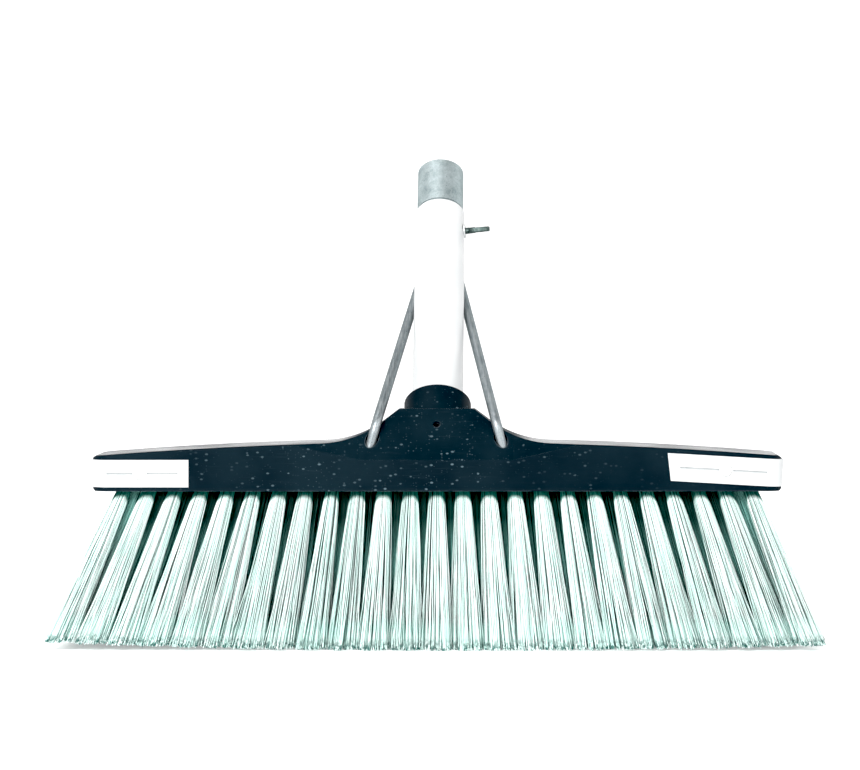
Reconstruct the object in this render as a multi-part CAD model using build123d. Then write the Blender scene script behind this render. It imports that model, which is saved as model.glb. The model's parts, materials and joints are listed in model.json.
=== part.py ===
from build123d import *
import math
import os

# Pool wall brush: a moulded block with five rows of flared tufts, soft bumpers round both
# ends, and a steel socket tube that leans back and is braced by two round stays.
# +Z is up and +X runs along the block. The handle leans towards +Y. The origin lies on the
# plane of the bristle tips, under the middle of the block. All sizes are in millimetres.

# Block
BLOCK_LENGTH = 450.0
BLOCK_DEPTH = 62.0
END_HEIGHT = 23.2
END_FOOT_INSET = 2.0
END_FOOT_RISE = 1.6
END_TOP_INSET = 2.6
END_TOP_DROP = 1.8
MIDDLE_OF_ARM_X = 150.0
MIDDLE_OF_ARM_HEIGHT = 28.1
SHOULDER_HEIGHT = 31.6
HUMP_HEIGHT = 53.0
SHOULDER_X = 52.5
HUMP_TOP_HALF = 24.5
SHOULDER_ROUND = 70.0
HUMP_ROUND = 4.0
PLAN_CORNER = 12.0
EDGE_ROUND = 1.5
SLOPE_FOOT = 20.3
SLOPE_RISE = 1.43
SLOPE_HALF = 50.0
SLOPE_FADE_X = 112.0
SLOPE_FADE_RISE = 14.0
SLOPE_RUN = 34.0
SLOPE_REACH = 3.0

# Bristles
BRISTLE_FREE = 103.5
ROWS = 5
ROW_PITCH = 10.0
TUFTS_IN_LONG_ROW = 25
TUFT_PITCH = 17.0
FAN_ALONG = 0.194
FAN_ACROSS = 0.35
TUFT_ROOT_RADIUS = 3.0
TUFT_TIP_RADIUS = 5.6
STRAND_ROOT_WIDTH = 2.0
STRAND_TIP_WIDTH = 3.0
STRANDS_ROUND_CENTRE = 3
TUFT_TURN = 40.0
BACKING_LENGTH = 428.0
BACKING_THICKNESS = 2.4
ROOT_IN_BACKING = 0.8
ANCHOR_SIZE = (6.5, 1.2, 2.0)

# Bumpers: how far each reaches from the end, and how the right one is tipped and cut askew
BUMPER_LEFT_REACH = 63.6
BUMPER_RIGHT_REACH = 73.7
BUMPER_RIGHT_TIP = 3.3
BUMPER_RIGHT_SKEW = -9.6
BUMPER_HEIGHT = 17.8
BUMPER_MIDDLE = 11.6
BUMPER_DEPTH = 5.0
BUMPER_PROUD = 0.8
GROOVE_WIDTH = 1.2
GROOVE_DEPTH = 0.9
GROOVE_END_MARGIN = 10.2
GROOVE_INNER_MARGIN = 7.0
RIVET_HEAD_RADIUS = 4.0
RIVET_HEAD_THICKNESS = 1.4
RIVET_HEAD_ROUND = 0.6
RIVET_SHANK_RADIUS = 2.2
RIVET_LENGTH = 15.0
GROOVE_BREAK = 9.4

# Handle: the lean is from upright, and the socket's mouth is where the tube leaves the block
LEAN = 40.0
MOUTH_Y = 54.7
MOUTH_Z = 54.9
COLLAR_RADIUS = 22.2
COLLAR_BURIED = 30.0
COLLAR_CHAMFER = 1.0
SOCKET_DEPTH = 46.0
TUBE_RADIUS = 16.95
TUBE_BORE_RADIUS = 15.95
TUBE_OUT = 167.0
TUBE_CLEARANCE = 0.05
TOUCH_GAP = 0.02
SEAT_GAP = 0.1
WALL_CUT = 6.0
END_GAP = 0.5

# Adapter tube, measured along the handle from the socket's mouth
ADAPTER_RADIUS = 15.88
ADAPTER_BORE_RADIUS = 14.1
ADAPTER_FOOT = 92.0
ADAPTER_TOP = 205.0
RIM_ROUND = 0.6
MARK_ALONG = 168.0
MARK_WIDTH = 1.0
MARK_DEPTH = 0.25
RING_FOOT = 96.0
RING_HEIGHT = 8.0
RING_INNER_RADIUS = 15.02
RING_GAP = 0.06

# Clamp screw, square to the handle and turned a little to the front
CLAMP_ALONG = 150.0
CLAMP_TURN = 8.0
CLAMP_RADIUS = 2.1
PAD_RADIUS = 1.9
PAD_THICKNESS = 0.6
PAD_SPIGOT_RADIUS = 0.9
PAD_SPIGOT_LENGTH = 1.8
NUT_BODY_RADIUS = 3.6
NUT_FLANGE_RADIUS = 4.8
NUT_FLANGE_THICKNESS = 0.9
BLADE_START = 20.6
BLADE_END = 34.6
BLADE_WIDTH = 13.0
BLADE_THICKNESS = 3.4
BLADE_CORNER = 4.5
BLADE_ROUND = 0.8
SHANK_IN_BLADE = 4.0
SPIGOT_END_GAP = 0.2

# Stays and what holds them on the back of the tube
STAY_RADIUS = 3.17
STAY_X = 42.9
STAY_X_HEIGHT = 30.4
STAY_LEAN_IN = 0.278
STAY_Y = 9.7
STAY_FOOT_HEIGHT = 12.0
STAY_BEND_HEIGHT = 45.5
STAY_BEND_RADIUS = 13.0
STAY_JOGGLE = 16.0
STAY_JOGGLE_RADIUS = 9.0
STAY_HOLE_RADIUS = 3.25
STAY_MOUTH_RADIUS = 4.2
STAY_MOUTH_HEIGHT = 26.5
LUG_ALONG = 143.0
LUG_OFFSET = 26.0
LUG_THICKNESS = 5.0
LUG_RADIUS = 7.5
LUG_FOOT = 26.0
EYE_RADIUS = 7.5
EYE_THICKNESS = 4.4
STAY_TIP_ROUND = 0.8
BOLT_RADIUS = 3.0
BOLT_HOLE_RADIUS = 3.2
WASHER_RADIUS = 6.2
WASHER_THICKNESS = 1.6
NUT_FLATS = 10.0
NUT_HEIGHT = 5.4
BOLT_HEAD_HEIGHT = 4.0
BOLT_TAIL = 1.6
HEAD_CORNER_RADIUS = 5.6
NUT_COLLAR_HEIGHT = 1.4
NUT_COLLAR_RADIUS = 4.5

# Grub screw that locks the tube in the collar
GRUB_ALONG = -34.0
GRUB_RADIUS = 2.5
GRUB_LENGTH = 4.6
GRUB_SOCKET_FLATS = 2.5
GRUB_SOCKET_DEPTH = 2.0

lean = math.radians(LEAN)
ALONG = Vector(0, math.sin(lean), math.cos(lean))
BACK = Vector(0, math.cos(lean), -math.sin(lean))
FRONT_Y = -BLOCK_DEPTH / 2
MOUTH = Vector(0, FRONT_Y + MOUTH_Y, BRISTLE_FREE + MOUTH_Z)
FAR = 400.0
CUT_LENGTH = 50.0


def on_handle(along, back=0.0, side=0.0):
    """Point at a distance along the handle, and off its axis to the back and to +X."""
    return MOUTH + ALONG * along + BACK * back + Vector(side, 0, 0)


def rod(start, direction, length, radius):
    """Solid round bar from a point."""
    return Plane(origin=start, z_dir=direction) * Cylinder(
        radius, length, align=(Align.CENTER, Align.CENTER, Align.MIN)
    )


def hexagon_bar(start, direction, length, flats):
    """Solid hexagonal bar from a point, given across its flats."""
    outline = RegularPolygon(flats / 2, 6, major_radius=False)
    return extrude(Plane(origin=start, z_dir=direction) * outline, length)


def box_between(low, high):
    """Box from its lowest and highest corners."""
    size = [b - a for a, b in zip(low, high)]
    middle = [(a + b) / 2 for a, b in zip(low, high)]
    return Pos(*middle) * Box(*size)


def polyhedron(ring_a, ring_b):
    """Flat-faced solid between two rings with the same number of corners."""
    count = len(ring_a)
    faces = [Face(Wire.make_polygon(ring_a)), Face(Wire.make_polygon(ring_b))]
    for i in range(count):
        j = (i + 1) % count
        faces.append(Face(Wire.make_polygon([ring_a[i], ring_a[j], ring_b[j], ring_b[i]])))
    return Solid(Shell(faces))


# ---------------------------------------------------------------- block
def plan_outline(offset):
    """Block seen from above, grown or shrunk by an offset, at the height of its underside."""
    outline = RectangleRounded(
        BLOCK_LENGTH + 2 * offset, BLOCK_DEPTH + 2 * offset, PLAN_CORNER + offset
    )
    return Pos(0, 0, BRISTLE_FREE) * outline


def front_outline():
    """Block seen from the front: long low arms that rise to a flat hump."""
    half = BLOCK_LENGTH / 2
    end_low = (half, END_FOOT_RISE)
    end_high = (half, END_HEIGHT - END_TOP_DROP)
    arm_end = (half - END_TOP_INSET, END_HEIGHT)
    arm_middle = (MIDDLE_OF_ARM_X, MIDDLE_OF_ARM_HEIGHT)
    shoulder = (SHOULDER_X, SHOULDER_HEIGHT)
    hump = (HUMP_TOP_HALF, HUMP_HEIGHT)

    def mirrored(point):
        return (-point[0], point[1])

    foot = (half - END_FOOT_INSET, 0.0)
    lines = [
        Line(mirrored(foot), foot),
        Line(foot, end_low),
        Line(end_low, end_high),
        Line(end_high, arm_end),
        ThreePointArc(arm_end, arm_middle, shoulder),
        Line(shoulder, hump),
        Line(hump, mirrored(hump)),
        Line(mirrored(hump), mirrored(shoulder)),
        ThreePointArc(mirrored(shoulder), mirrored(arm_middle), mirrored(arm_end)),
        Line(mirrored(arm_end), mirrored(end_high)),
        Line(mirrored(end_high), mirrored(end_low)),
        Line(mirrored(end_low), mirrored(foot)),
    ]
    face = make_face(lines)
    shoulders = [v for v in face.vertices() if abs(abs(v.X) - SHOULDER_X) < 0.01]
    face = fillet(shoulders, SHOULDER_ROUND)
    corners = [v for v in face.vertices() if abs(abs(v.X) - HUMP_TOP_HALF) < 0.01]
    return fillet(corners, HUMP_ROUND)


def slope_cutter(side):
    """Wedge that slopes the front (side -1) or the back (side 1) and fades out on the arms."""
    sections = []
    for x, lift in (
        (-SLOPE_FADE_X, SLOPE_FADE_RISE),
        (-SLOPE_HALF, 0.0),
        (SLOPE_HALF, 0.0),
        (SLOPE_FADE_X, SLOPE_FADE_RISE),
    ):
        low = BRISTLE_FREE + SLOPE_FOOT + lift - SLOPE_REACH * SLOPE_RISE
        high = low + (SLOPE_RUN + SLOPE_REACH) * SLOPE_RISE
        outer = side * (BLOCK_DEPTH / 2 + SLOPE_REACH)
        inner = side * (BLOCK_DEPTH / 2 - SLOPE_RUN)
        sections.append([(x, outer, low), (x, inner, high), (x, outer, high)])
    return [polyhedron(a, b) for a, b in zip(sections, sections[1:])]


def make_block():
    """Moulded block with its collar, bores, recesses and pockets."""
    outline = Plane(origin=(0, BLOCK_DEPTH / 2, BRISTLE_FREE), x_dir=(1, 0, 0), z_dir=(0, -1, 0))
    body = extrude(outline * front_outline(), BLOCK_DEPTH) & extrude(plan_outline(0), FAR)
    rims = [
        e
        for e in body.edges()
        if e.center().Z > BRISTLE_FREE + END_HEIGHT - 1.0 and abs(e.center().Y) > 5
    ]
    body = fillet(rims, EDGE_ROUND)
    body -= slope_cutter(-1) + slope_cutter(1)

    collar = rod(on_handle(-COLLAR_BURIED), ALONG, COLLAR_BURIED, COLLAR_RADIUS)
    collar = chamfer(collar.edges().sort_by(Axis(MOUTH, ALONG))[-1], COLLAR_CHAMFER)
    body += collar
    body -= rod(on_handle(-SOCKET_DEPTH), ALONG, FAR, TUBE_RADIUS + TUBE_CLEARANCE)

    body -= rod(grub_point(TUBE_RADIUS - 1), BACK * -1, CUT_LENGTH, GRUB_RADIUS)
    for side in (-1, 1):
        path = stay_points(side)
        upward = path[1] - path[0]
        rise = (STAY_MOUTH_HEIGHT - STAY_FOOT_HEIGHT) / upward.Z
        body -= rod(path[0], upward, CUT_LENGTH, STAY_HOLE_RADIUS)
        body -= rod(path[0] + upward * rise, upward, CUT_LENGTH, STAY_MOUTH_RADIUS)
    body -= bumper_band(-1, BUMPER_DEPTH) + bumper_band(1, BUMPER_DEPTH)
    body -= [rod(p, d, RIVET_LENGTH, RIVET_SHANK_RADIUS) for p, d in rivet_places()]
    for row in range(ROWS):
        body -= row_backing(row)
    body -= [tuft_anchor(x, row_y(row)) for row in range(ROWS) for x in row_tufts(row)]
    return body


# ---------------------------------------------------------------- bumpers
def bumper_reach(side):
    """How far a bumper's legs reach in from the end of the block."""
    return BUMPER_LEFT_REACH if side < 0 else BUMPER_RIGHT_REACH


def bumper_place(side, shape):
    """Tip a level bumper shape about the end of the block, as the right one sits."""
    if side < 0:
        return shape
    pivot = Pos(BLOCK_LENGTH / 2, 0, BRISTLE_FREE + BUMPER_MIDDLE)
    return pivot * Rot(0, BUMPER_RIGHT_TIP, 0) * pivot.inverse() * shape


def bumper_band(side, proud):
    """Band round one end of the block, standing proud of it by a distance."""
    lift = Pos(0, 0, BUMPER_MIDDLE - BUMPER_HEIGHT / 2)
    band = lift * extrude(plan_outline(proud) - plan_outline(-BUMPER_DEPTH), BUMPER_HEIGHT)
    inner = Pos(side * (BLOCK_LENGTH / 2 - bumper_reach(side)), 0, BRISTLE_FREE + BUMPER_MIDDLE)
    skew = Rot(0, 0 if side < 0 else BUMPER_RIGHT_SKEW, 0)
    outward = Align.MAX if side < 0 else Align.MIN
    keep = inner * skew * Box(FAR, FAR, FAR, align=(outward, Align.CENTER, Align.CENTER))
    return bumper_place(side, band & keep)


def rivet_x(side):
    """Middle of the bumper's straight leg."""
    return side * (BLOCK_LENGTH / 2 - bumper_reach(side) / 2)


def rivet_places():
    """Inner end and outward direction of each bumper rivet."""
    places = []
    for side in (-1, 1):
        for face in (-1, 1):
            depth = BLOCK_DEPTH / 2 + BUMPER_PROUD - RIVET_LENGTH
            level = Pos(rivet_x(side), face * depth, BRISTLE_FREE + BUMPER_MIDDLE)
            point = bumper_place(side, level * Vertex(0, 0, 0)).center()
            places.append((point, Vector(0, face, 0)))
    return places


def make_bumper(side):
    """Soft bumper with a broken groove along each leg and a seat for each rivet head."""
    bumper = bumper_band(side, BUMPER_PROUD)
    outer = BLOCK_DEPTH / 2 + BUMPER_PROUD
    inner_end = BLOCK_LENGTH / 2 - bumper_reach(side) + GROOVE_INNER_MARGIN
    outer_end = BLOCK_LENGTH / 2 - GROOVE_END_MARGIN
    middle = abs(rivet_x(side))
    spans = ((inner_end, middle - GROOVE_BREAK / 2), (middle + GROOVE_BREAK / 2, outer_end))
    height = BRISTLE_FREE + BUMPER_MIDDLE
    for face in (-1, 1):
        for near, far in spans:
            place = Pos(side * (near + far) / 2, face * outer, height)
            groove = place * Box(far - near, 2 * GROOVE_DEPTH, GROOVE_WIDTH)
            bumper -= bumper_place(side, groove)
    for point, direction in rivet_places():
        if point.X * side > 0:
            seat = point + direction * (RIVET_LENGTH - RIVET_HEAD_THICKNESS)
            bumper -= rod(seat, direction, CUT_LENGTH, RIVET_HEAD_RADIUS + SEAT_GAP)
            bumper -= rod(point, direction, CUT_LENGTH, RIVET_SHANK_RADIUS)
    return bumper


def make_rivets():
    """Push rivets whose heads lie flush in the bumpers."""
    rivets = []
    for point, direction in rivet_places():
        shank = rod(point, direction, RIVET_LENGTH - RIVET_HEAD_THICKNESS, RIVET_SHANK_RADIUS)
        seat = point + direction * (RIVET_LENGTH - RIVET_HEAD_THICKNESS)
        head = rod(seat, direction, RIVET_HEAD_THICKNESS, RIVET_HEAD_RADIUS)
        rim = head.edges().filter_by(GeomType.CIRCLE).sort_by(Axis(point, direction))[-1]
        rivets.append(shank + fillet(rim, RIVET_HEAD_ROUND))
    return Compound(children=[r.solid() for r in rivets])


# ---------------------------------------------------------------- bristles
def row_y(row):
    """Distance of one row from the middle of the block."""
    return (row - (ROWS - 1) / 2) * ROW_PITCH


def row_tufts(row):
    """Tuft centres along one row: every other row has one tuft fewer and is staggered."""
    count = TUFTS_IN_LONG_ROW - row % 2
    return [(i - (count - 1) / 2) * TUFT_PITCH for i in range(count)]


def row_backing(row):
    """Slice of the block's underside that one row stands in."""
    y = row_y(row)
    return box_between(
        (-BACKING_LENGTH / 2, y - ROW_PITCH / 2, BRISTLE_FREE),
        (BACKING_LENGTH / 2, y + ROW_PITCH / 2, BRISTLE_FREE + BACKING_THICKNESS),
    )


def tuft_anchor(x, y):
    """Flat wire anchor that is driven in over one tuft."""
    low = BRISTLE_FREE + BACKING_THICKNESS
    return Pos(x, y, low + ANCHOR_SIZE[2] / 2) * Box(*ANCHOR_SIZE)


def square(x, y, z, width):
    """Corners of a level square."""
    half = width / 2
    corners = ((-half, -half), (half, -half), (half, half), (-half, half))
    return [(x + dx, y + dy, z) for dx, dy in corners]


def strand(root, tip):
    """Four-sided strand from inside the backing down to the plane of the tips."""
    top = BRISTLE_FREE + ROOT_IN_BACKING
    return polyhedron(
        square(*root, top, STRAND_ROOT_WIDTH), square(*tip, 0.0, STRAND_TIP_WIDTH)
    )


def tuft(x, y, turn):
    """One strand in the middle of the tuft and three that flare round it."""
    tip_x = x * (1 + FAN_ALONG)
    tip_y = y * (1 + FAN_ACROSS)
    strands = [strand((x, y), (tip_x, tip_y))]
    for i in range(STRANDS_ROUND_CENTRE):
        angle = math.radians(turn + 360 / STRANDS_ROUND_CENTRE * i)
        cos, sin = math.cos(angle), math.sin(angle)
        root = (x + TUFT_ROOT_RADIUS * cos, y + TUFT_ROOT_RADIUS * sin)
        tip = (tip_x + TUFT_TIP_RADIUS * cos, tip_y + TUFT_TIP_RADIUS * sin)
        strands.append(strand(root, tip))
    return strands


def make_row(row):
    """Row of tufts fused to its slice of the backing."""
    strands = []
    for i, x in enumerate(row_tufts(row)):
        strands += tuft(x, row_y(row), TUFT_TURN * (i + row))
    return row_backing(row).solid().fuse(*strands)


# ---------------------------------------------------------------- handle
def grub_point(radius):
    """Point on the grub screw's line, at a distance in front of the handle's axis."""
    return on_handle(GRUB_ALONG, -radius)


def clamp_direction():
    """Outward direction of the clamp screw."""
    turn = math.radians(CLAMP_TURN)
    return Vector(math.cos(turn), 0, 0) - BACK * math.sin(turn)


def clamp_point(radius):
    """Point on the clamp screw's line, at a distance from the handle's axis."""
    return on_handle(CLAMP_ALONG) + clamp_direction() * radius


def tube(foot, top, radius, bore):
    """Straight tube round the handle's axis with its upper rim rounded inside and out."""
    wall = rod(on_handle(foot), ALONG, top - foot, radius)
    wall -= rod(on_handle(foot), ALONG, top - foot, bore)
    axis = Axis(on_handle(foot), ALONG)
    rims = wall.edges().filter_by(GeomType.CIRCLE).sort_by(axis)[-2:]
    return fillet(rims, min(RIM_ROUND, (radius - bore) * 0.4))


def make_socket_tube():
    """White tube with holes for the grub screw and the clinched nut."""
    wall = tube(END_GAP - SOCKET_DEPTH, TUBE_OUT, TUBE_RADIUS, TUBE_BORE_RADIUS)
    inside = TUBE_RADIUS - WALL_CUT / 2
    wall -= rod(grub_point(inside), BACK * -1, WALL_CUT, GRUB_RADIUS + SEAT_GAP)
    return wall - rod(clamp_point(inside), clamp_direction(), WALL_CUT, NUT_BODY_RADIUS)


def ring_groove(foot, width, floor):
    """Ring to cut from the adapter tube, down to a floor radius."""
    start = on_handle(foot)
    return rod(start, ALONG, width, ADAPTER_RADIUS + 1) - rod(start, ALONG, width, floor)


def make_adapter_tube():
    """Grey tube with a groove for its guide ring and a fine line that marks how far it goes in."""
    wall = tube(ADAPTER_FOOT, ADAPTER_TOP, ADAPTER_RADIUS, ADAPTER_BORE_RADIUS)
    wall -= ring_groove(
        RING_FOOT - RING_GAP, RING_HEIGHT + 2 * RING_GAP, RING_INNER_RADIUS - RING_GAP
    )
    return wall - ring_groove(MARK_ALONG, MARK_WIDTH, ADAPTER_RADIUS - MARK_DEPTH)


def make_adapter_ring():
    """Guide ring that slides in the socket tube and turns on the adapter tube."""
    outer = TUBE_BORE_RADIUS - RING_GAP
    ring = rod(on_handle(RING_FOOT), ALONG, RING_HEIGHT, outer)
    return ring - rod(on_handle(RING_FOOT), ALONG, RING_HEIGHT, RING_INNER_RADIUS)


def make_grub_screw():
    """Grub screw with a hexagon socket in its outer end."""
    start = grub_point(TUBE_BORE_RADIUS + SEAT_GAP)
    outward = BACK * -1
    screw = rod(start, outward, GRUB_LENGTH, GRUB_RADIUS)
    floor = start + outward * (GRUB_LENGTH - GRUB_SOCKET_DEPTH)
    return screw - hexagon_bar(floor, outward, GRUB_SOCKET_DEPTH, GRUB_SOCKET_FLATS)


# ---------------------------------------------------------------- clamp screw
def make_clamp_nut():
    """Thin nut clinched in the tube's wall, with a flange outside."""
    body_start = TUBE_BORE_RADIUS + SEAT_GAP
    flange_start = TUBE_RADIUS + TOUCH_GAP
    body = rod(
        clamp_point(body_start), clamp_direction(), flange_start - body_start, NUT_BODY_RADIUS
    )
    flange = rod(
        clamp_point(flange_start), clamp_direction(), NUT_FLANGE_THICKNESS, NUT_FLANGE_RADIUS
    )
    bore = rod(clamp_point(0), clamp_direction(), CUT_LENGTH, CLAMP_RADIUS + TUBE_CLEARANCE)
    return body + flange - bore


def pad_start():
    """Distance of the pad's face from the handle's axis when the screw is tight."""
    return ADAPTER_RADIUS + TUBE_CLEARANCE


def make_clamp_pad():
    """Brass pad with a spigot that the screw's nose turns on."""
    direction = clamp_direction()
    disc = rod(clamp_point(pad_start()), direction, PAD_THICKNESS, PAD_RADIUS)
    spigot_start = clamp_point(pad_start() + PAD_THICKNESS)
    return disc + rod(spigot_start, direction, PAD_SPIGOT_LENGTH, PAD_SPIGOT_RADIUS)


def make_clamp_screw():
    """Thumb screw: a plain shank and a flat head with rounded corners."""
    direction = clamp_direction()
    nose = pad_start() + PAD_THICKNESS + TUBE_CLEARANCE
    shank = rod(clamp_point(nose), direction, BLADE_START + SHANK_IN_BLADE - nose, CLAMP_RADIUS)
    socket_depth = PAD_SPIGOT_LENGTH + SPIGOT_END_GAP
    socket = rod(
        clamp_point(nose), direction, socket_depth, PAD_SPIGOT_RADIUS + TUBE_CLEARANCE
    )
    across = Vector(0, 1, 0) - direction * direction.Y
    thin = direction.cross(across)
    length = BLADE_END - BLADE_START
    middle = clamp_point(BLADE_START + length / 2)
    outline = RectangleRounded(length, BLADE_WIDTH, BLADE_CORNER)
    plane = Plane(origin=middle, x_dir=direction, z_dir=thin)
    blade = extrude(plane * outline, BLADE_THICKNESS / 2, both=True)
    rims = blade.faces().sort_by(Axis(middle, thin))
    blade = fillet(rims[0].edges() + rims[-1].edges(), BLADE_ROUND)
    return shank + blade - socket


# ---------------------------------------------------------------- stays
def stay_x(height):
    """Distance of a stay's axis from the middle plane, at a height above the underside."""
    return STAY_X - STAY_LEAN_IN * (height - STAY_X_HEIGHT)


def lug_centre():
    """Centre of the bolt hole in the lug."""
    return on_handle(LUG_ALONG, LUG_OFFSET)


def stay_points(side):
    """Corners of one stay, from its foot in the block to its eye on the lug."""
    eye = lug_centre()
    foot_y = FRONT_Y + STAY_Y

    def at(y, z):
        return Vector(side * stay_x(z - BRISTLE_FREE), y, z)

    foot = at(foot_y, BRISTLE_FREE + STAY_FOOT_HEIGHT)
    bend = at(foot_y, BRISTLE_FREE + STAY_BEND_HEIGHT)
    upper = Vector(0, eye.Y - foot_y, eye.Z - bend.Z).normalized()
    joggle = at(eye.Y - upper.Y * STAY_JOGGLE, eye.Z - upper.Z * STAY_JOGGLE)
    end = Vector(side * (LUG_THICKNESS / 2 + STAY_RADIUS + TUBE_CLEARANCE), eye.Y, eye.Z)
    return [foot, bend, joggle, end]


def make_stay(side):
    """Bent round rod with a forged eye at its upper end."""
    points = stay_points(side)
    path = FilletPolyline(*points, radius=[STAY_BEND_RADIUS, STAY_JOGGLE_RADIUS])
    section = Plane(origin=path @ 0, z_dir=path % 0) * Circle(STAY_RADIUS)
    bar = sweep(section, path)
    face = Vector(side, 0, 0)
    start = lug_centre() + face * (LUG_THICKNESS / 2 + TOUCH_GAP)
    eye = rod(start, face, EYE_THICKNESS, EYE_RADIUS)
    clear = start + face * EYE_THICKNESS
    bar = bar + eye - rod(clear, face, CUT_LENGTH, EYE_RADIUS + 1)
    bar -= rod(lug_centre(), face, CUT_LENGTH, BOLT_HOLE_RADIUS)
    return fillet(bar.edges().sort_by(Axis.Z)[0], STAY_TIP_ROUND)


def make_lug():
    """Tab that stands out of the back of the tube in the middle plane."""
    face = lug_centre() - Vector(LUG_THICKNESS / 2, 0, 0)
    toward_tube = LUG_OFFSET - TUBE_RADIUS - TOUCH_GAP
    foot = Line((-LUG_FOOT / 2, toward_tube), (LUG_FOOT / 2, toward_tube))
    outline = make_hull([foot] + Circle(LUG_RADIUS).edges())
    tab = extrude(Plane(origin=face, x_dir=ALONG, z_dir=(1, 0, 0)) * outline, LUG_THICKNESS)
    return tab - rod(face, Vector(1, 0, 0), LUG_THICKNESS, BOLT_HOLE_RADIUS)


def stack_face():
    """Distance from the middle plane to the outer face of a stay's eye."""
    return LUG_THICKNESS / 2 + TOUCH_GAP + EYE_THICKNESS


def make_washers():
    """Two washers, one outside each eye."""
    washers = []
    for side in (-1, 1):
        face = Vector(side, 0, 0)
        start = lug_centre() + face * stack_face()
        washer = rod(start, face, WASHER_THICKNESS, WASHER_RADIUS)
        washers.append(washer - rod(start, face, WASHER_THICKNESS, BOLT_HOLE_RADIUS))
    return Compound(children=[w.solid() for w in washers])


def make_bolt():
    """Hexagon bolt, its head towards +X."""
    seat = stack_face() + WASHER_THICKNESS
    tail = seat + NUT_HEIGHT + BOLT_TAIL
    right = Vector(1, 0, 0)
    shank = rod(lug_centre() - right * tail, right, tail + seat, BOLT_RADIUS)
    head = hexagon_bar(lug_centre() + right * seat, right, BOLT_HEAD_HEIGHT, NUT_FLATS)
    head &= rod(lug_centre() + right * seat, right, BOLT_HEAD_HEIGHT, HEAD_CORNER_RADIUS)
    return shank + head


def make_nut():
    """Lock nut with a round collar."""
    left = Vector(-1, 0, 0)
    start = lug_centre() + left * (stack_face() + WASHER_THICKNESS)
    hexagon = NUT_HEIGHT - NUT_COLLAR_HEIGHT
    nut = hexagon_bar(start, left, hexagon, NUT_FLATS)
    nut += rod(start + left * hexagon, left, NUT_COLLAR_HEIGHT, NUT_COLLAR_RADIUS)
    return nut - rod(start, left, NUT_HEIGHT, BOLT_RADIUS)


# ---------------------------------------------------------------- files
def write(shape, node):
    """Write one piece to its file."""
    export_step(shape, f"parts/{node}.step")


def main():
    os.makedirs("parts", exist_ok=True)
    write(make_block(), "block")
    write(make_bumper(-1), "bumper_left")
    write(make_bumper(1), "bumper_right")
    write(make_rivets(), "bumper_rivets")
    for row in range(ROWS):
        write(make_row(row), f"bristle_row_{row + 1}")
    anchors = [tuft_anchor(x, row_y(row)) for row in range(ROWS) for x in row_tufts(row)]
    write(Compound(children=[a.solid() for a in anchors]), "tuft_anchors")
    write(make_socket_tube(), "socket_tube")
    write(make_grub_screw(), "socket_screw")
    write(make_stay(-1), "stay_left")
    write(make_stay(1), "stay_right")
    write(make_lug(), "stay_lug")
    write(make_bolt(), "stay_bolt")
    write(make_washers(), "stay_washers")
    write(make_nut(), "stay_nut")
    write(make_clamp_nut(), "clamp_nut")
    write(make_clamp_pad(), "clamp_pad")
    write(make_clamp_screw(), "clamp_screw")
    write(make_adapter_tube(), "adapter_tube")
    write(make_adapter_ring(), "adapter_ring")


main()
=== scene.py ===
"""Looks of the pool wall brush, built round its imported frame.

Everything is in metres: +X runs along the block, +Y to the back, the way the handle leans, and
+Z up from the plane of the bristle tips.
"""

import json
import logging
import math
from dataclasses import dataclass
from enum import Enum
from typing import Any

import bpy
from mathutils import Matrix, Vector


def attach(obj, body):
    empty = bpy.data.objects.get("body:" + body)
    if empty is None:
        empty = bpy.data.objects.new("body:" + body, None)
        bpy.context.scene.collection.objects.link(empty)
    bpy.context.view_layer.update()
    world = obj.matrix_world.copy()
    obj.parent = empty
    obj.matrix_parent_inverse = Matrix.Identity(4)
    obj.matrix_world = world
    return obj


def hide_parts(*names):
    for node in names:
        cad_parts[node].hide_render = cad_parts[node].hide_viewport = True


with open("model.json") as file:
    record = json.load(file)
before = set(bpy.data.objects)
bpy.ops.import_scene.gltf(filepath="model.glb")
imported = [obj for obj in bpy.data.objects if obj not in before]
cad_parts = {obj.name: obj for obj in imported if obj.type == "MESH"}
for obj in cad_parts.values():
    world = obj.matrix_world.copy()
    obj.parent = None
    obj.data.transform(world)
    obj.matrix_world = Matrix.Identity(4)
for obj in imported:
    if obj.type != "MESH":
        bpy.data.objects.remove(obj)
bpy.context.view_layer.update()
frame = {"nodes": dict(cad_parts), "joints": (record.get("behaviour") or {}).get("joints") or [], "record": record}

LOG = logging.getLogger("pool_wall_brush")
MM = 0.001
Colour = tuple[float, float, float]


class Body(Enum):
    """The bodies of the frame that the pieces made here ride on."""

    HEAD = "head"
    THUMB_SCREW = "thumb_screw"


class Grain(Enum):
    """Which way the drawing marks of a metal piece run, as a turn about X that brings them upright."""

    UPRIGHT = 0.0
    ALONG_HANDLE = math.radians(40.0)
    ALONG_STAYS = math.radians(57.0)


def mount(name: str) -> dict[str, Any]:
    """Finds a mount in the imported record.

    Args:
        name: The mount's name.

    Returns:
        The mount's entry.
    """
    return next(m for m in frame["record"]["mounts"] if m["name"] == name)


def joint(name: str) -> dict[str, Any]:
    """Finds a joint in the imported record.

    Args:
        name: The joint's name.

    Returns:
        The joint's entry.
    """
    return next(j for j in frame["joints"] if j["name"] == name)


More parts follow.
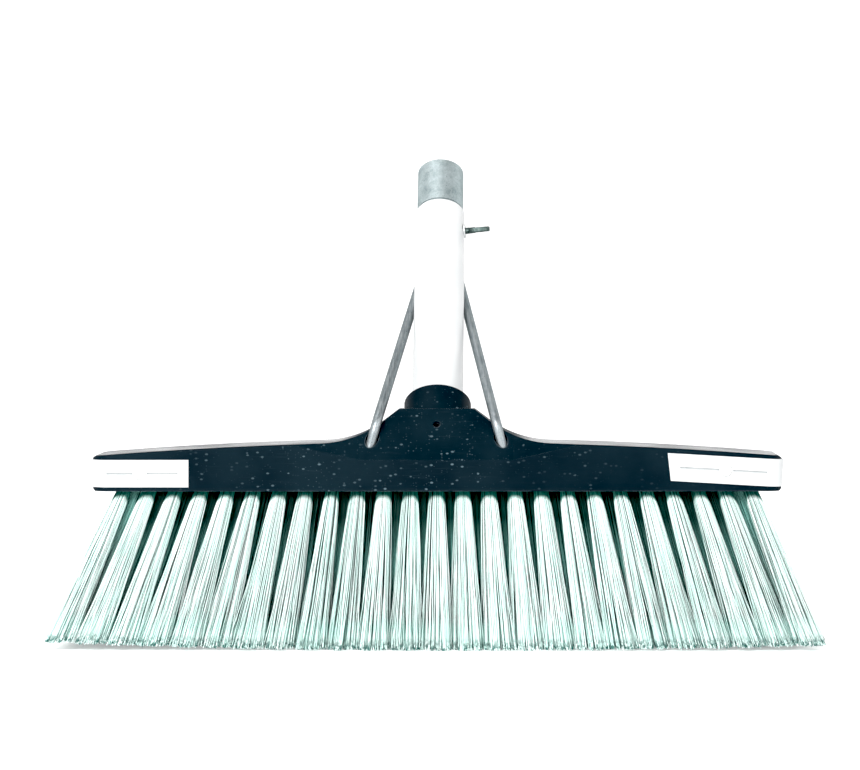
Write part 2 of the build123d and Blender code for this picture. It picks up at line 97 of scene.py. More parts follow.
# ---------------------------------------------------------------- node trees
class NodeGraph:
    """Adds and links nodes in one shader or geometry tree."""

    def __init__(self, tree: bpy.types.NodeTree) -> None:
        """Takes the tree that the nodes go into."""
        self.tree = tree

    def node(self, kind: str, inputs: dict[Any, Any] | None = None, **settings: Any) -> bpy.types.Node:
        """Adds one node.

        Args:
            kind: The node's type name.
            inputs: What each input, by name or number, is linked to or set to.
            **settings: The node's own properties.

        Returns:
            The new node.
        """
        made = self.tree.nodes.new(kind)
        for name, value in settings.items():
            setattr(made, name, value)
        for key, value in (inputs or {}).items():
            self.feed(self.socket(made.inputs, key), value)
        return made

    def socket(self, sockets: Any, key: Any) -> bpy.types.NodeSocket:
        """Finds a socket by number, or the one in use of those that share a name."""
        if isinstance(key, int):
            return sockets[key]
        return next(s for s in sockets if s.name == key and s.enabled)

    def feed(self, socket: bpy.types.NodeSocket, value: Any) -> None:
        """Links a socket to a node's first output or to a socket, or sets its value."""
        if isinstance(value, bpy.types.Node):
            value = next(s for s in value.outputs if s.enabled)
        if isinstance(value, bpy.types.NodeSocket):
            self.tree.links.new(value, socket)
        else:
            socket.default_value = value

    def maths(self, operation: str, a: Any, b: Any = 0.0, c: Any = 0.0) -> bpy.types.NodeSocket:
        """One step of arithmetic on numbers."""
        made = self.node("ShaderNodeMath", {0: a, 1: b, 2: c}, operation=operation)
        return made.outputs[0]

    def times(self, a: Any, b: Any) -> bpy.types.NodeSocket:
        """Two numbers multiplied."""
        return self.maths("MULTIPLY", a, b)

    def plus(self, a: Any, b: Any) -> bpy.types.NodeSocket:
        """Two numbers added."""
        return self.maths("ADD", a, b)

    def minus(self, a: Any, b: Any) -> bpy.types.NodeSocket:
        """The first number less the second."""
        return self.maths("SUBTRACT", a, b)

    def larger(self, a: Any, b: Any) -> bpy.types.NodeSocket:
        """The larger of two numbers."""
        return self.maths("MAXIMUM", a, b)

    def vector(
        self, operation: str, a: Any, b: Any = None, c: Any = None, scale: Any = None
    ) -> bpy.types.NodeSocket:
        """One step of arithmetic on vectors."""
        inputs = {0: a, 1: b, 2: c, "Scale": scale}
        used = {key: value for key, value in inputs.items() if value is not None}
        made = self.node("ShaderNodeVectorMath", used, operation=operation)
        return next(s for s in made.outputs if s.enabled)

    def combine(self, x: Any = 0.0, y: Any = 0.0, z: Any = 0.0) -> bpy.types.NodeSocket:
        """A vector from three numbers."""
        return self.node("ShaderNodeCombineXYZ", {0: x, 1: y, 2: z}).outputs[0]

    def split(self, vector: Any) -> Any:
        """The three numbers of a vector."""
        return self.node("ShaderNodeSeparateXYZ", {0: vector}).outputs

    def noise(self, place: Any, scale: Any, detail: float) -> bpy.types.NodeSocket:
        """Even noise over a vector."""
        inputs = {"Vector": place, "Scale": scale, "Detail": detail}
        return self.node("ShaderNodeTexNoise", inputs).outputs[0]

    def spread(self, value: Any, low: Any, high: Any, to_low: float, to_high: float) -> bpy.types.NodeSocket:
        """Takes a number from one range to another, held at both ends."""
        inputs = {"Value": value, "From Min": low, "From Max": high, "To Min": to_low, "To Max": to_high}
        return self.node("ShaderNodeMapRange", inputs, clamp=True).outputs[0]

    def blend(self, share: Any, a: Any, b: Any) -> bpy.types.NodeSocket:
        """Blends two colours by a share that changes over the surface."""
        inputs = {"Factor": share, "A": self.opaque(a), "B": self.opaque(b)}
        made = self.node("ShaderNodeMix", inputs, data_type="RGBA")
        return self.socket(made.outputs, "Result")

    @staticmethod
    def opaque(colour: Any) -> Any:
        """A plain colour with its alpha added, or the socket it already is."""
        return (*colour, 1.0) if isinstance(colour, tuple) else colour


# ---------------------------------------------------------------- shared shader effects
class EffectLibrary:
    """Shader node groups that several finishes share, each built once."""

    BEVEL_SAMPLES = 4
    AIR_SAMPLES = 6
    LEAST_FLECK = 0.3
    FLECK_CORE = 0.6

    def __init__(self) -> None:
        """Builds every group."""
        self.edge_wear = self._edge_wear()
        self.flecks = self._flecks()
        self.drawn_grain = self._drawn_grain()
        self.mottle = self._mottle()
        self.depth_shade = self._depth_shade()

    @staticmethod
    def _start(name: str, sizes: dict[str, float], follows_place: bool = True) -> tuple[NodeGraph, Any, Any]:
        """Makes an empty group with its sockets and one output.

        Args:
            name: The group's name.
            sizes: The first value of each named number that the group takes.
            follows_place: Whether the group also takes a vector, the place on the piece.

        Returns:
            The graph, the group's inputs and the socket that its result goes into.
        """
        tree = bpy.data.node_groups.new(name, "ShaderNodeTree")
        if follows_place:
            tree.interface.new_socket("Vector", in_out="INPUT", socket_type="NodeSocketVector")
        for title, value in sizes.items():
            socket = tree.interface.new_socket(title, in_out="INPUT", socket_type="NodeSocketFloat")
            socket.default_value = value
        tree.interface.new_socket("Value", in_out="OUTPUT", socket_type="NodeSocketFloat")
        graph = NodeGraph(tree)
        return graph, graph.node("NodeGroupInput").outputs, graph.node("NodeGroupOutput").inputs[0]

    def _edge_wear(self) -> bpy.types.NodeTree:
        """Mask of the outer and inner edges, from how far a rounded normal leaves the true one."""
        graph, given, result = self._start("edge_wear", {"Radius": 0.0008, "Gain": 6.0}, follows_place=False)
        rounded = graph.node("ShaderNodeBevel", {"Radius": given["Radius"]}, samples=self.BEVEL_SAMPLES)
        true = graph.node("ShaderNodeNewGeometry")
        match = graph.vector("DOT_PRODUCT", rounded.outputs[0], true.outputs["Normal"])
        mask = graph.times(graph.minus(1.0, match), given["Gain"])
        graph.feed(result, graph.spread(mask, 0.0, 1.0, 0.0, 1.0))
        return graph.tree

    def _flecks(self) -> bpy.types.NodeTree:
        """Mask of scattered round spots of uneven size."""
        graph, given, result = self._start("flecks", {"Scale": 500.0, "Size": 0.3, "Share": 0.2})
        cells = graph.node("ShaderNodeTexVoronoi", {"Vector": given["Vector"], "Scale": given["Scale"]})
        pick = graph.split(cells.outputs["Color"])
        chosen = graph.maths("LESS_THAN", pick[0], given["Share"])
        uneven = graph.maths("MULTIPLY_ADD", pick[1], 1.0 - self.LEAST_FLECK, self.LEAST_FLECK)
        depth = graph.maths("DIVIDE", cells.outputs["Distance"], graph.times(given["Size"], uneven))
        spot = graph.spread(depth, self.FLECK_CORE, 1.0, 1.0, 0.0)
        graph.feed(result, graph.times(spot, chosen))
        return graph.tree

    def _drawn_grain(self) -> bpy.types.NodeTree:
        """Fine streaks along Z of the vector it is given."""
        graph, given, result = self._start("drawn_grain", {"Scale": 1500.0, "Stretch": 40.0})
        squeeze = graph.combine(1.0, 1.0, graph.maths("DIVIDE", 1.0, given["Stretch"]))
        place = graph.vector("MULTIPLY", given["Vector"], squeeze)
        graph.feed(result, graph.noise(place, given["Scale"], 3.0))
        return graph.tree

    def _mottle(self) -> bpy.types.NodeTree:
        """Cloudy patches with their contrast raised between two levels."""
        graph, given, result = self._start("mottle", {"Scale": 60.0, "Low": 0.35, "High": 0.65})
        cloud = graph.noise(given["Vector"], given["Scale"], 4.0)
        graph.feed(result, graph.spread(cloud, given["Low"], given["High"], 0.0, 1.0))
        return graph.tree

    def _depth_shade(self) -> bpy.types.NodeTree:
        """Mask of what lies deep among its neighbours, from how much of the open air a point sees, which the
        finishes use to paint shade into their colour.
        """
        sizes = {"Distance": 0.02, "Closed": 0.15, "Open": 0.6}
        graph, given, result = self._start("depth_shade", sizes, follows_place=False)
        reach = {"Distance": given["Distance"]}
        seen = graph.node("ShaderNodeAmbientOcclusion", reach, samples=self.AIR_SAMPLES)
        graph.feed(result, graph.spread(seen.outputs["AO"], given["Closed"], given["Open"], 1.0, 0.0))
        return graph.tree


# ---------------------------------------------------------------- finishes
@dataclass(frozen=True)
class Finish:
    """A surface finish: its name and the record's material slot that it stands for."""

    RIM_TINT = (0.22, 0.26, 0.26, 1.0)

    name: str
    slot: str

    def material(self, effects: EffectLibrary) -> bpy.types.Material:
        """Builds the finish.

        Args:
            effects: The shared shader groups.

        Returns:
            The material.
        """
        made = bpy.data.materials.new(self.name)
        made.use_nodes = True
        graph = NodeGraph(made.node_tree)
        shader = made.node_tree.nodes["Principled BSDF"]
        self.dress(graph, shader, effects)
        return made

    def dress(self, graph: NodeGraph, shader: bpy.types.Node, effects: EffectLibrary) -> None:
        """Adds the nodes of this finish. Each finish has its own."""
        raise NotImplementedError

    @staticmethod
    def place(graph: NodeGraph, turn: float = 0.0) -> bpy.types.NodeSocket:
        """The point on the piece, in metres, turned about X so that a grain can run along it."""
        where = graph.node("ShaderNodeTexCoord").outputs["Object"]
        if turn == 0.0:
            return where
        return graph.node("ShaderNodeMapping", {"Vector": where, "Rotation": (turn, 0.0, 0.0)}).outputs[0]

    @staticmethod
    def effect(graph: NodeGraph, group: bpy.types.NodeTree, **inputs: Any) -> bpy.types.NodeSocket:
        """Places a shared effect with its own values and gives its output."""
        made = graph.node("ShaderNodeGroup", node_tree=group)
        for name, value in inputs.items():
            graph.feed(made.inputs[name], value)
        return made.outputs[0]

    @staticmethod
    def relief(graph: NodeGraph, shader: bpy.types.Node, height: Any, strength: float, depth: float) -> None:
        """Raises a height on the surface, with the depth in metres of its full range."""
        bump = graph.node("ShaderNodeBump", {"Height": height, "Strength": strength, "Distance": depth})
        graph.feed(shader.inputs["Normal"], bump)


@dataclass(frozen=True)
class MouldedPlastic(Finish):
    """Black moulded plastic with pale flecks and drag marks, paler edges that are partly wear and partly a painted
    highlight, wiped smooth where it faces up.
    """

    FLECK_SQUASH = (1.0, 1.0, 1.6)
    SMALL_FLECK_STRENGTH = 0.6
    FLECK_CORE = 0.35
    FEWEST_FLECKS = 0.12
    PATCHINESS = 0.8
    DRAG_SCALE = (45.0, 900.0, 900.0)
    DRAG_LEVELS = (0.6, 0.8)
    DRAG_STRENGTH = 0.08
    EDGE_LEVELS = (0.42, 1.0)
    FACES_UP = (0.93, 0.98)
    GRAZING = (0.8, 0.94)
    CLOUD_ROUGHNESS = 0.12
    FLECK_ROUGHNESS = 0.2
    GRAZING_GLOSS = 0.3
    SPECULAR = 0.08
    SKIN_HEIGHT = 0.35
    WIPED_HEIGHT = 0.24
    RELIEF = (0.5, 0.12 * MM)

    deep: Colour = (0.0025, 0.0085, 0.0135)
    faded: Colour = (0.006, 0.0145, 0.0205)
    fleck: Colour = (0.08, 0.12, 0.14)
    # Paler edge colour: wear, and a painted highlight along the rims.
    wear_and_highlight: Colour = (0.1, 0.13, 0.145)
    fleck_scale: float = 300.0
    fleck_centre: float = -0.035
    fleck_spread: float = 0.155
    roughness: float = 0.45

    def dress(self, graph: NodeGraph, shader: bpy.types.Node, effects: EffectLibrary) -> None:
        """Adds the nodes of the block's plastic."""
        place = self.place(graph)
        cloud = self.effect(graph, effects.mottle, Vector=place, Scale=24.0)
        amount = self.fleck_amount(graph, place, effects)
        spots = graph.times(self.fleck_mask(graph, place, effects), amount)
        streaks = graph.vector("MULTIPLY", place, self.DRAG_SCALE)
        drag = graph.spread(graph.noise(streaks, 1.0, 2.0), *self.DRAG_LEVELS, 0.0, self.DRAG_STRENGTH)
        base = graph.blend(cloud, self.deep, self.faded)
        marked = graph.blend(graph.times(drag, amount), base, self.fleck)
        flecked = graph.blend(spots, marked, self.fleck)
        # Paler edges in patches: partly edge wear, partly a painted highlight along the rims and the collar.
        sharp = self.effect(graph, effects.edge_wear, Radius=0.9 * MM, Gain=4.0)
        edges = graph.spread(sharp, *self.EDGE_LEVELS, 0.0, 1.0)
        chafe = self.effect(graph, effects.mottle, Vector=place, Scale=140.0, Low=0.3, High=0.6)
        graph.feed(shader.inputs["Base Color"], graph.blend(graph.times(edges, chafe), flecked, self.wear_and_highlight))
        upward = graph.split(graph.node("ShaderNodeTexCoord").outputs["Normal"])[2]
        wiped = graph.spread(upward, *self.FACES_UP, 0.0, 1.0)
        facing = graph.node("ShaderNodeLayerWeight", {"Blend": 0.5}).outputs["Facing"]
        gloss = graph.times(wiped, graph.spread(facing, *self.GRAZING, 0.0, 1.0))
        rough = graph.maths("MULTIPLY_ADD", cloud, self.CLOUD_ROUGHNESS, self.roughness)
        rough = graph.plus(rough, graph.times(spots, self.FLECK_ROUGHNESS))
        graph.feed(shader.inputs["Roughness"], graph.minus(rough, graph.times(gloss, self.GRAZING_GLOSS)))
        shader.inputs["Specular IOR Level"].default_value = self.SPECULAR
        skin = graph.times(graph.noise(place, 1600.0, 2.0), self.SKIN_HEIGHT)
        height = graph.minus(skin, graph.plus(spots, drag))
        height = graph.times(height, graph.spread(wiped, 0.0, 1.0, 1.0, self.WIPED_HEIGHT))
        self.relief(graph, shader, height, *self.RELIEF)

    def fleck_mask(self, graph: NodeGraph, place: Any, effects: EffectLibrary) -> bpy.types.NodeSocket:
        """Mask of the large flecks and of the fainter small ones between them."""
        squat = graph.vector("MULTIPLY", place, self.FLECK_SQUASH)
        flecks = effects.flecks
        large = self.effect(graph, flecks, Vector=squat, Scale=self.fleck_scale, Size=0.44, Share=0.17)
        small = self.effect(graph, flecks, Vector=squat, Scale=self.fleck_scale * 2.0, Size=0.36, Share=0.3)
        return graph.larger(large, graph.times(small, self.SMALL_FLECK_STRENGTH))

    def fleck_amount(self, graph: NodeGraph, place: Any, effects: EffectLibrary) -> bpy.types.NodeSocket:
        """How many flecks there are: most in patches near the middle of the block."""
        side = graph.maths("ABSOLUTE", graph.minus(graph.split(place)[0], self.fleck_centre))
        core = self.fleck_spread * self.FLECK_CORE
        middle = graph.spread(side, core, self.fleck_spread, 1.0, self.FEWEST_FLECKS)
        patch = self.effect(graph, effects.mottle, Vector=place, Scale=55.0, Low=0.4, High=0.62)
        patchy = graph.maths("MULTIPLY_ADD", patch, self.PATCHINESS, 1.0 - self.PATCHINESS)
        return graph.times(middle, patchy)


@dataclass(frozen=True)
class SoftRubber(Finish):
    """White soft rubber, a little chalky, with grey rubs on its edges and painted shade in its groove and where it
    meets other parts.
    """

    RUB_STRENGTH = 0.75
    SPECK_STRENGTH = 0.4
    CREASE_SHADE_STRENGTH = 0.9
    ROUGHNESS = (0.5, 0.66)
    SPECULAR = 0.4
    RELIEF = (0.35, 0.08 * MM)

    clean: Colour = (0.62, 0.63, 0.63)
    chalky: Colour = (0.56, 0.575, 0.58)
    # Grey of the edge rubs, also the colour of the painted shade in creases.
    rub_and_shade: Colour = (0.33, 0.36, 0.37)

    def dress(self, graph: NodeGraph, shader: bpy.types.Node, effects: EffectLibrary) -> None:
        """Adds the nodes of the bumpers' rubber."""
        place = self.place(graph)
        cloud = self.effect(graph, effects.mottle, Vector=place, Scale=38.0)
        base = graph.blend(cloud, self.clean, self.chalky)
        edges = self.effect(graph, effects.edge_wear, Radius=1.0 * MM, Gain=4.0)
        scuff = self.effect(graph, effects.mottle, Vector=place, Scale=190.0, Low=0.5, High=0.66)
        rubbed = graph.times(graph.times(edges, scuff), self.RUB_STRENGTH)
        specks = self.effect(graph, effects.flecks, Vector=place, Scale=260.0, Size=0.2, Share=0.05)
        marks = graph.larger(rubbed, graph.times(specks, self.SPECK_STRENGTH))
        # Painted shade in the groove and round the rivets and the block, from how little open air a point sees.
        crease_shade = self.effect(graph, effects.depth_shade, Distance=2.5 * MM, Closed=0.25, Open=0.85)
        marks = graph.larger(marks, graph.times(crease_shade, self.CREASE_SHADE_STRENGTH))
        graph.feed(shader.inputs["Base Color"], graph.blend(marks, base, self.rub_and_shade))
        graph.feed(shader.inputs["Roughness"], graph.spread(cloud, 0.0, 1.0, *self.ROUGHNESS))
        shader.inputs["Specular IOR Level"].default_value = self.SPECULAR
        self.relief(graph, shader, graph.noise(place, 1400.0, 3.0), *self.RELIEF)


@dataclass(frozen=True)
class PowderCoat(Finish):
    """White powder coat on steel, with orange peel, bare steel where its edges have chipped, and painted shade in
    its creases.
    """

    CREASE_SHADE_STRENGTH = 0.8
    BARE_METAL = 0.8
    ROUGHNESS = (0.3, 0.42)
    PEEL_HEIGHT = 0.5
    RELIEF = (0.3, 0.1 * MM)

    coat: Colour = (0.64, 0.65, 0.65)
    aged: Colour = (0.6, 0.615, 0.62)
    steel: Colour = (0.3, 0.32, 0.33)
    # Colour of the painted shade in creases.
    crease_shade: Colour = (0.26, 0.3, 0.3)

    def dress(self, graph: NodeGraph, shader: bpy.types.Node, effects: EffectLibrary) -> None:
        """Adds the nodes of the white coating."""
        place = self.place(graph, Grain.ALONG_HANDLE.value)
        cloud = self.effect(graph, effects.mottle, Vector=place, Scale=30.0)
        base = graph.blend(cloud, self.coat, self.aged)
        edges = self.effect(graph, effects.edge_wear, Radius=0.6 * MM, Gain=7.0)
        chips = self.effect(graph, effects.mottle, Vector=place, Scale=420.0, Low=0.47, High=0.56)
        bare = graph.times(edges, chips)
        # Painted shade in creases and where the coat meets other parts.
        crease_shade = self.effect(graph, effects.depth_shade, Distance=2.5 * MM, Closed=0.2, Open=0.75)
        crease_shaded = graph.blend(graph.times(crease_shade, self.CREASE_SHADE_STRENGTH), base, self.crease_shade)
        graph.feed(shader.inputs["Base Color"], graph.blend(bare, crease_shaded, self.steel))
        graph.feed(shader.inputs["Metallic"], graph.times(bare, self.BARE_METAL))
        graph.feed(shader.inputs["Roughness"], graph.spread(cloud, 0.0, 1.0, *self.ROUGHNESS))
        peel = graph.times(graph.noise(place, 650.0, 1.0), self.PEEL_HEIGHT)
        self.relief(graph, shader, graph.minus(peel, bare), *self.RELIEF)


@dataclass(frozen=True)
class GalvanisedSteel(Finish):
    """Galvanised tube: patches of crystal, each with its own shade, under fine lengthwise rubs, with a painted
    shadow where it enters the sleeve.
    """

    CRYSTAL_WARP = 0.0012
    CRYSTAL_STRETCH = (1.0, 1.0, 0.55)
    FINE_SHARE = 0.4
    CRYSTAL_SHARE = 0.25
    CLOUD_SHARE = 0.35
    TONE_LEVELS = (0.15, 0.8)
    STAIN_STRENGTH = 0.5
    EDGE_STRENGTH = 0.6
    METALLIC = 0.75
    ROUGHNESS = (0.4, 0.52)
    ROUGHNESS_LEVELS = (0.2, 1.6)
    FINE_HEIGHT = 0.7
    GRAIN_HEIGHT = 0.4
    RELIEF = (0.4, 0.08 * MM)

    light: Colour = (0.53, 0.6, 0.61)
    dark: Colour = (0.25, 0.31, 0.32)
    # Dark colour of the stains and of edge wear, also of the painted shadow where the tube enters the sleeve.
    stain_and_shade: Colour = (0.07, 0.1, 0.105)
    crystal_scale: float = 1500.0

    def dress(self, graph: NodeGraph, shader: bpy.types.Node, effects: EffectLibrary) -> None:
        """Adds the nodes of the grey tube."""
        place = self.place(graph, Grain.ALONG_HANDLE.value)
        cloud = self.effect(graph, effects.mottle, Vector=place, Scale=110.0, Low=0.3, High=0.7)
        shade = self.crystal_shade(graph, place)
        fine = graph.noise(place, 1900.0, 4.0)
        tone = graph.maths("MULTIPLY_ADD", fine, self.FINE_SHARE, graph.times(shade, self.CRYSTAL_SHARE))
        tone = graph.maths("MULTIPLY_ADD", cloud, self.CLOUD_SHARE, tone)
        base = graph.blend(graph.spread(tone, *self.TONE_LEVELS, 0.0, 1.0), self.dark, self.light)
        stains = self.effect(graph, effects.flecks, Vector=place, Scale=700.0, Size=0.36, Share=0.14)
        colour = graph.blend(graph.times(stains, self.STAIN_STRENGTH), base, self.stain_and_shade)
        edges = self.effect(graph, effects.edge_wear, Radius=0.6 * MM, Gain=6.0)
        # Painted shadow in the gap where the tube enters the sleeve.
        crease_shade = self.effect(graph, effects.depth_shade, Distance=4.0 * MM, Closed=0.3, Open=0.8)
        marks = graph.larger(graph.times(edges, self.EDGE_STRENGTH), crease_shade)
        graph.feed(shader.inputs["Base Color"], graph.blend(marks, colour, self.stain_and_shade))
        shader.inputs["Metallic"].default_value = self.METALLIC
        shader.inputs["Specular Tint"].default_value = self.RIM_TINT
        grain = self.effect(graph, effects.drawn_grain, Vector=place, Scale=1700.0, Stretch=30.0)
        rough = graph.spread(graph.plus(grain, shade), *self.ROUGHNESS_LEVELS, *self.ROUGHNESS)
        graph.feed(shader.inputs["Roughness"], rough)
        height = graph.plus(graph.times(fine, self.FINE_HEIGHT), graph.times(grain, self.GRAIN_HEIGHT))
        self.relief(graph, shader, height, *self.RELIEF)

    def crystal_shade(self, graph: NodeGraph, place: Any) -> bpy.types.NodeSocket:
        """A shade for each crystal of the zinc, in cells with wavy borders."""
        warp = graph.node("ShaderNodeTexNoise", {"Vector": place, "Scale": 500.0, "Detail": 2.0})
        shift = graph.vector("SCALE", warp.outputs["Color"], scale=self.CRYSTAL_WARP)
        bent = graph.vector("ADD", graph.vector("MULTIPLY", place, self.CRYSTAL_STRETCH), shift)
        crystals = graph.node("ShaderNodeTexVoronoi", {"Vector": bent, "Scale": self.crystal_scale})
        return graph.split(crystals.outputs["Color"])[0]


@dataclass(frozen=True)
class DrawnSteel(Finish):
    """Steel with lengthwise drawing marks and a thin dull plating, speckled where it has aged, with darker edges:
    wear, and on the dark screw a painted shade.
    """

    STREAK_SHARE = 0.85
    CLOUD_SHARE = 0.12
    TONE_LEVELS = (0.3, 0.75)
    SPOT_STRENGTH = 0.7
    METALLIC = 0.8
    STREAK_LEVELS = (0.25, 0.75)
    SMOOTHER = 0.08
    ROUGHER = 0.14
    SPOT_ROUGHNESS = 0.2
    RELIEF = (0.3, 0.05 * MM)

    bright: Colour = (0.4, 0.43, 0.44)
    dull: Colour = (0.19, 0.22, 0.235)
    spot: Colour = (0.08, 0.1, 0.105)
    grain: Grain = Grain.ALONG_STAYS
    roughness: float = 0.34
    spots: float = 0.14
    edge_radius: float = 0.4 * MM
    edge_wear_and_shade: float = 0.35

    def dress(self, graph: NodeGraph, shader: bpy.types.Node, effects: EffectLibrary) -> None:
        """Adds the nodes of drawn and plated steel."""
        place = self.place(graph, self.grain.value)
        streak = self.effect(graph, effects.drawn_grain, Vector=place, Scale=1900.0, Stretch=45.0)
        cloud = self.effect(graph, effects.mottle, Vector=place, Scale=180.0)
        tone = graph.plus(graph.times(streak, self.STREAK_SHARE), graph.times(cloud, self.CLOUD_SHARE))
        base = graph.blend(graph.spread(tone, *self.TONE_LEVELS, 0.0, 1.0), self.dull, self.bright)
        spots = self.effect(graph, effects.flecks, Vector=place, Scale=640.0, Size=0.34, Share=self.spots)
        # Darker edges: wear, and at a full share, as on the dark screw, a painted shade along its rounded edges.
        edges = self.effect(graph, effects.edge_wear, Radius=self.edge_radius, Gain=6.0)
        rubbed = graph.times(edges, self.edge_wear_and_shade)
        marks = graph.larger(graph.times(spots, self.SPOT_STRENGTH), rubbed)
        graph.feed(shader.inputs["Base Color"], graph.blend(marks, base, self.spot))
        shader.inputs["Metallic"].default_value = self.METALLIC
        shader.inputs["Specular Tint"].default_value = self.RIM_TINT
        smooth, coarse = self.roughness - self.SMOOTHER, self.roughness + self.ROUGHER
        rough = graph.spread(streak, *self.STREAK_LEVELS, smooth, coarse)
        graph.feed(shader.inputs["Roughness"], graph.maths("MULTIPLY_ADD", spots, self.SPOT_ROUGHNESS, rough))
        self.relief(graph, shader, graph.minus(streak, spots), *self.RELIEF)


@dataclass(frozen=True)
class TurnedMetal(Finish):
    """Small turned metal piece with fine cutter marks and darker, handled patches."""

    CUTTER_SCALE = (9000.0, 500.0, 500.0)
    CLOUD_STRENGTH = 0.55
    EDGE_STRENGTH = 0.7
    CUT_LEVELS = (0.3, 0.7)
    CUT_ROUGHNESS = 0.2
    RELIEF = (0.3, 0.04 * MM)

    light: Colour = (0.78, 0.62, 0.3)
    dark: Colour = (0.4, 0.28, 0.1)
    roughness: float = 0.3

    def dress(self, graph: NodeGraph, shader: bpy.types.Node, effects: EffectLibrary) -> None:
        """Adds the nodes of turned metal."""
        place = self.place(graph)
        cut = graph.noise(graph.vector("MULTIPLY", place, self.CUTTER_SCALE), 1.0, 1.0)
        cloud = self.effect(graph, effects.mottle, Vector=place, Scale=300.0)
        edges = self.effect(graph, effects.edge_wear, Radius=0.4 * MM, Gain=5.0)
        tone = graph.larger(graph.times(cloud, self.CLOUD_STRENGTH), graph.times(edges, self.EDGE_STRENGTH))
        graph.feed(shader.inputs["Base Color"], graph.blend(tone, self.light, self.dark))
        shader.inputs["Metallic"].default_value = 1.0
        rough = graph.spread(cut, *self.CUT_LEVELS, self.roughness, self.roughness + self.CUT_ROUGHNESS)
        graph.feed(shader.inputs["Roughness"], rough)
        self.relief(graph, shader, cut, *self.RELIEF)


@dataclass(frozen=True)
class Nylon(Finish):
    """Moulded nylon, slightly waxy, with a faint flow pattern."""

    ROUGHNESS = (0.3, 0.44)
    RELIEF = (0.25, 0.05 * MM)

    light: Colour = (0.7, 0.71, 0.7)
    flow: Colour = (0.62, 0.63, 0.61)

    def dress(self, graph: NodeGraph, shader: bpy.types.Node, effects: EffectLibrary) -> None:
        """Adds the nodes of nylon."""
        place = self.place(graph)
        cloud = self.effect(graph, effects.mottle, Vector=place, Scale=160.0)
        edges = self.effect(graph, effects.edge_wear, Radius=0.5 * MM, Gain=4.0)
        tone = graph.larger(cloud, edges)
        graph.feed(shader.inputs["Base Color"], graph.blend(tone, self.light, self.flow))
        graph.feed(shader.inputs["Roughness"], graph.spread(cloud, 0.0, 1.0, *self.ROUGHNESS))
        self.relief(graph, shader, graph.noise(place, 2200.0, 2.0), *self.RELIEF)


@dataclass(frozen=True)
class BristleFibre(Finish):
    """Pale green fibre with painted shade at its root, in the inner rows and among its neighbours, and frayed and
    stained at its cut tip.

    Every range is a share of the way along the fibre, or of how hidden it is.
    """

    CLOUD_SHARE = 0.3
    TINT_SHARE = 0.7
    ROOT_ENDS = (0.044, 0.07)
    SIDE_REACH = 0.04
    SIDE_POWER = 4.0
    TIP_STARTS = (0.92, 0.985)
    FRAY_LEVELS = (0.47, 0.54)
    INNER_RANGE = (0.15, 0.85)
    INNER_SHADE = (0.95, 0.15)
    SHADE_ENDS = (0.78, 0.97)
    HALF_HIDDEN = 0.55
    ALL_HIDDEN = 0.9
    ROUGHNESS = (0.32, 0.5)
    SPECULAR = 0.5

    pale: Colour = (0.93, 1.0, 0.98)
    green: Colour = (0.66, 0.96, 0.89)
    root: Colour = (0.01, 0.13, 0.1)
    # Colour of the painted shade at the root of each tuft.
    cut: Colour = (0.02, 0.14, 0.12)
    # Colours of the painted shade, half and full.
    shaded: Colour = (0.28, 0.66, 0.58)
    deep: Colour = (0.003, 0.055, 0.043)

    def dress(self, graph: NodeGraph, shader: bpy.types.Node, effects: EffectLibrary) -> None:
        """Adds the nodes of the fibres, which read their own place along and tint."""
        along = self.stored(graph, "fibre_along")
        tint = self.stored(graph, "fibre_tint")
        place = self.place(graph)
        cloud = self.effect(graph, effects.mottle, Vector=place, Scale=70.0)
        tone = graph.maths("MULTIPLY_ADD", cloud, self.CLOUD_SHARE, graph.times(tint, self.TINT_SHARE))
        base = graph.blend(tone, self.pale, self.green)
        # Painted shade at the roots, climbing higher at the sides of each tuft so that its top looks rounded.
        side = graph.split(self.stored(graph, "fibre_aim", "Vector"))[0]
        climb = graph.times(graph.maths("POWER", side, self.SIDE_POWER), self.SIDE_REACH)
        root_shade = graph.spread(graph.minus(along, climb), *self.ROOT_ENDS, 1.0, 0.0)
        frayed = graph.spread(graph.noise(place, 380.0, 3.0), *self.FRAY_LEVELS, 0.0, 1.0)
        stained = graph.times(graph.spread(along, *self.TIP_STARTS, 0.0, 1.0), frayed)
        colour = graph.blend(stained, graph.blend(root_shade, base, self.root), self.cut)
        # Painted shade: towards half-shaded and then deep green, the more hidden a fibre is.
        hidden = self.hidden(graph, along, effects)
        half_lit = graph.blend(graph.spread(hidden, 0.0, self.HALF_HIDDEN, 0.0, 1.0), colour, self.shaded)
        unlit = graph.spread(hidden, self.HALF_HIDDEN, self.ALL_HIDDEN, 0.0, 1.0)
        graph.feed(shader.inputs["Base Color"], graph.blend(unlit, half_lit, self.deep))
        graph.feed(shader.inputs["Roughness"], graph.spread(tint, 0.0, 1.0, *self.ROUGHNESS))
        shader.inputs["Specular IOR Level"].default_value = self.SPECULAR

    @staticmethod
    def stored(graph: NodeGraph, name: str, kind: str = "Fac") -> bpy.types.NodeSocket:
        """A value that the tufts keep on every point of a fibre."""
        return graph.node("ShaderNodeAttribute", attribute_name=name).outputs[kind]

    def hidden(self, graph: NodeGraph, along: Any, effects: EffectLibrary) -> bpy.types.NodeSocket:
        """How hidden from the open air a fibre is, by its neighbours or by standing in an inner row: the share of
        painted shade that it gets.
        """
        inner = self.stored(graph, "fibre_inner_shade")
        inner_row_shade = graph.times(inner, graph.spread(along, *self.INNER_RANGE, *self.INNER_SHADE))
        among = self.effect(graph, effects.depth_shade, Distance=45.0 * MM, Closed=0.04, Open=0.16)
        return graph.larger(graph.times(among, graph.spread(along, *self.SHADE_ENDS, 1.0, 0.0)), inner_row_shade)


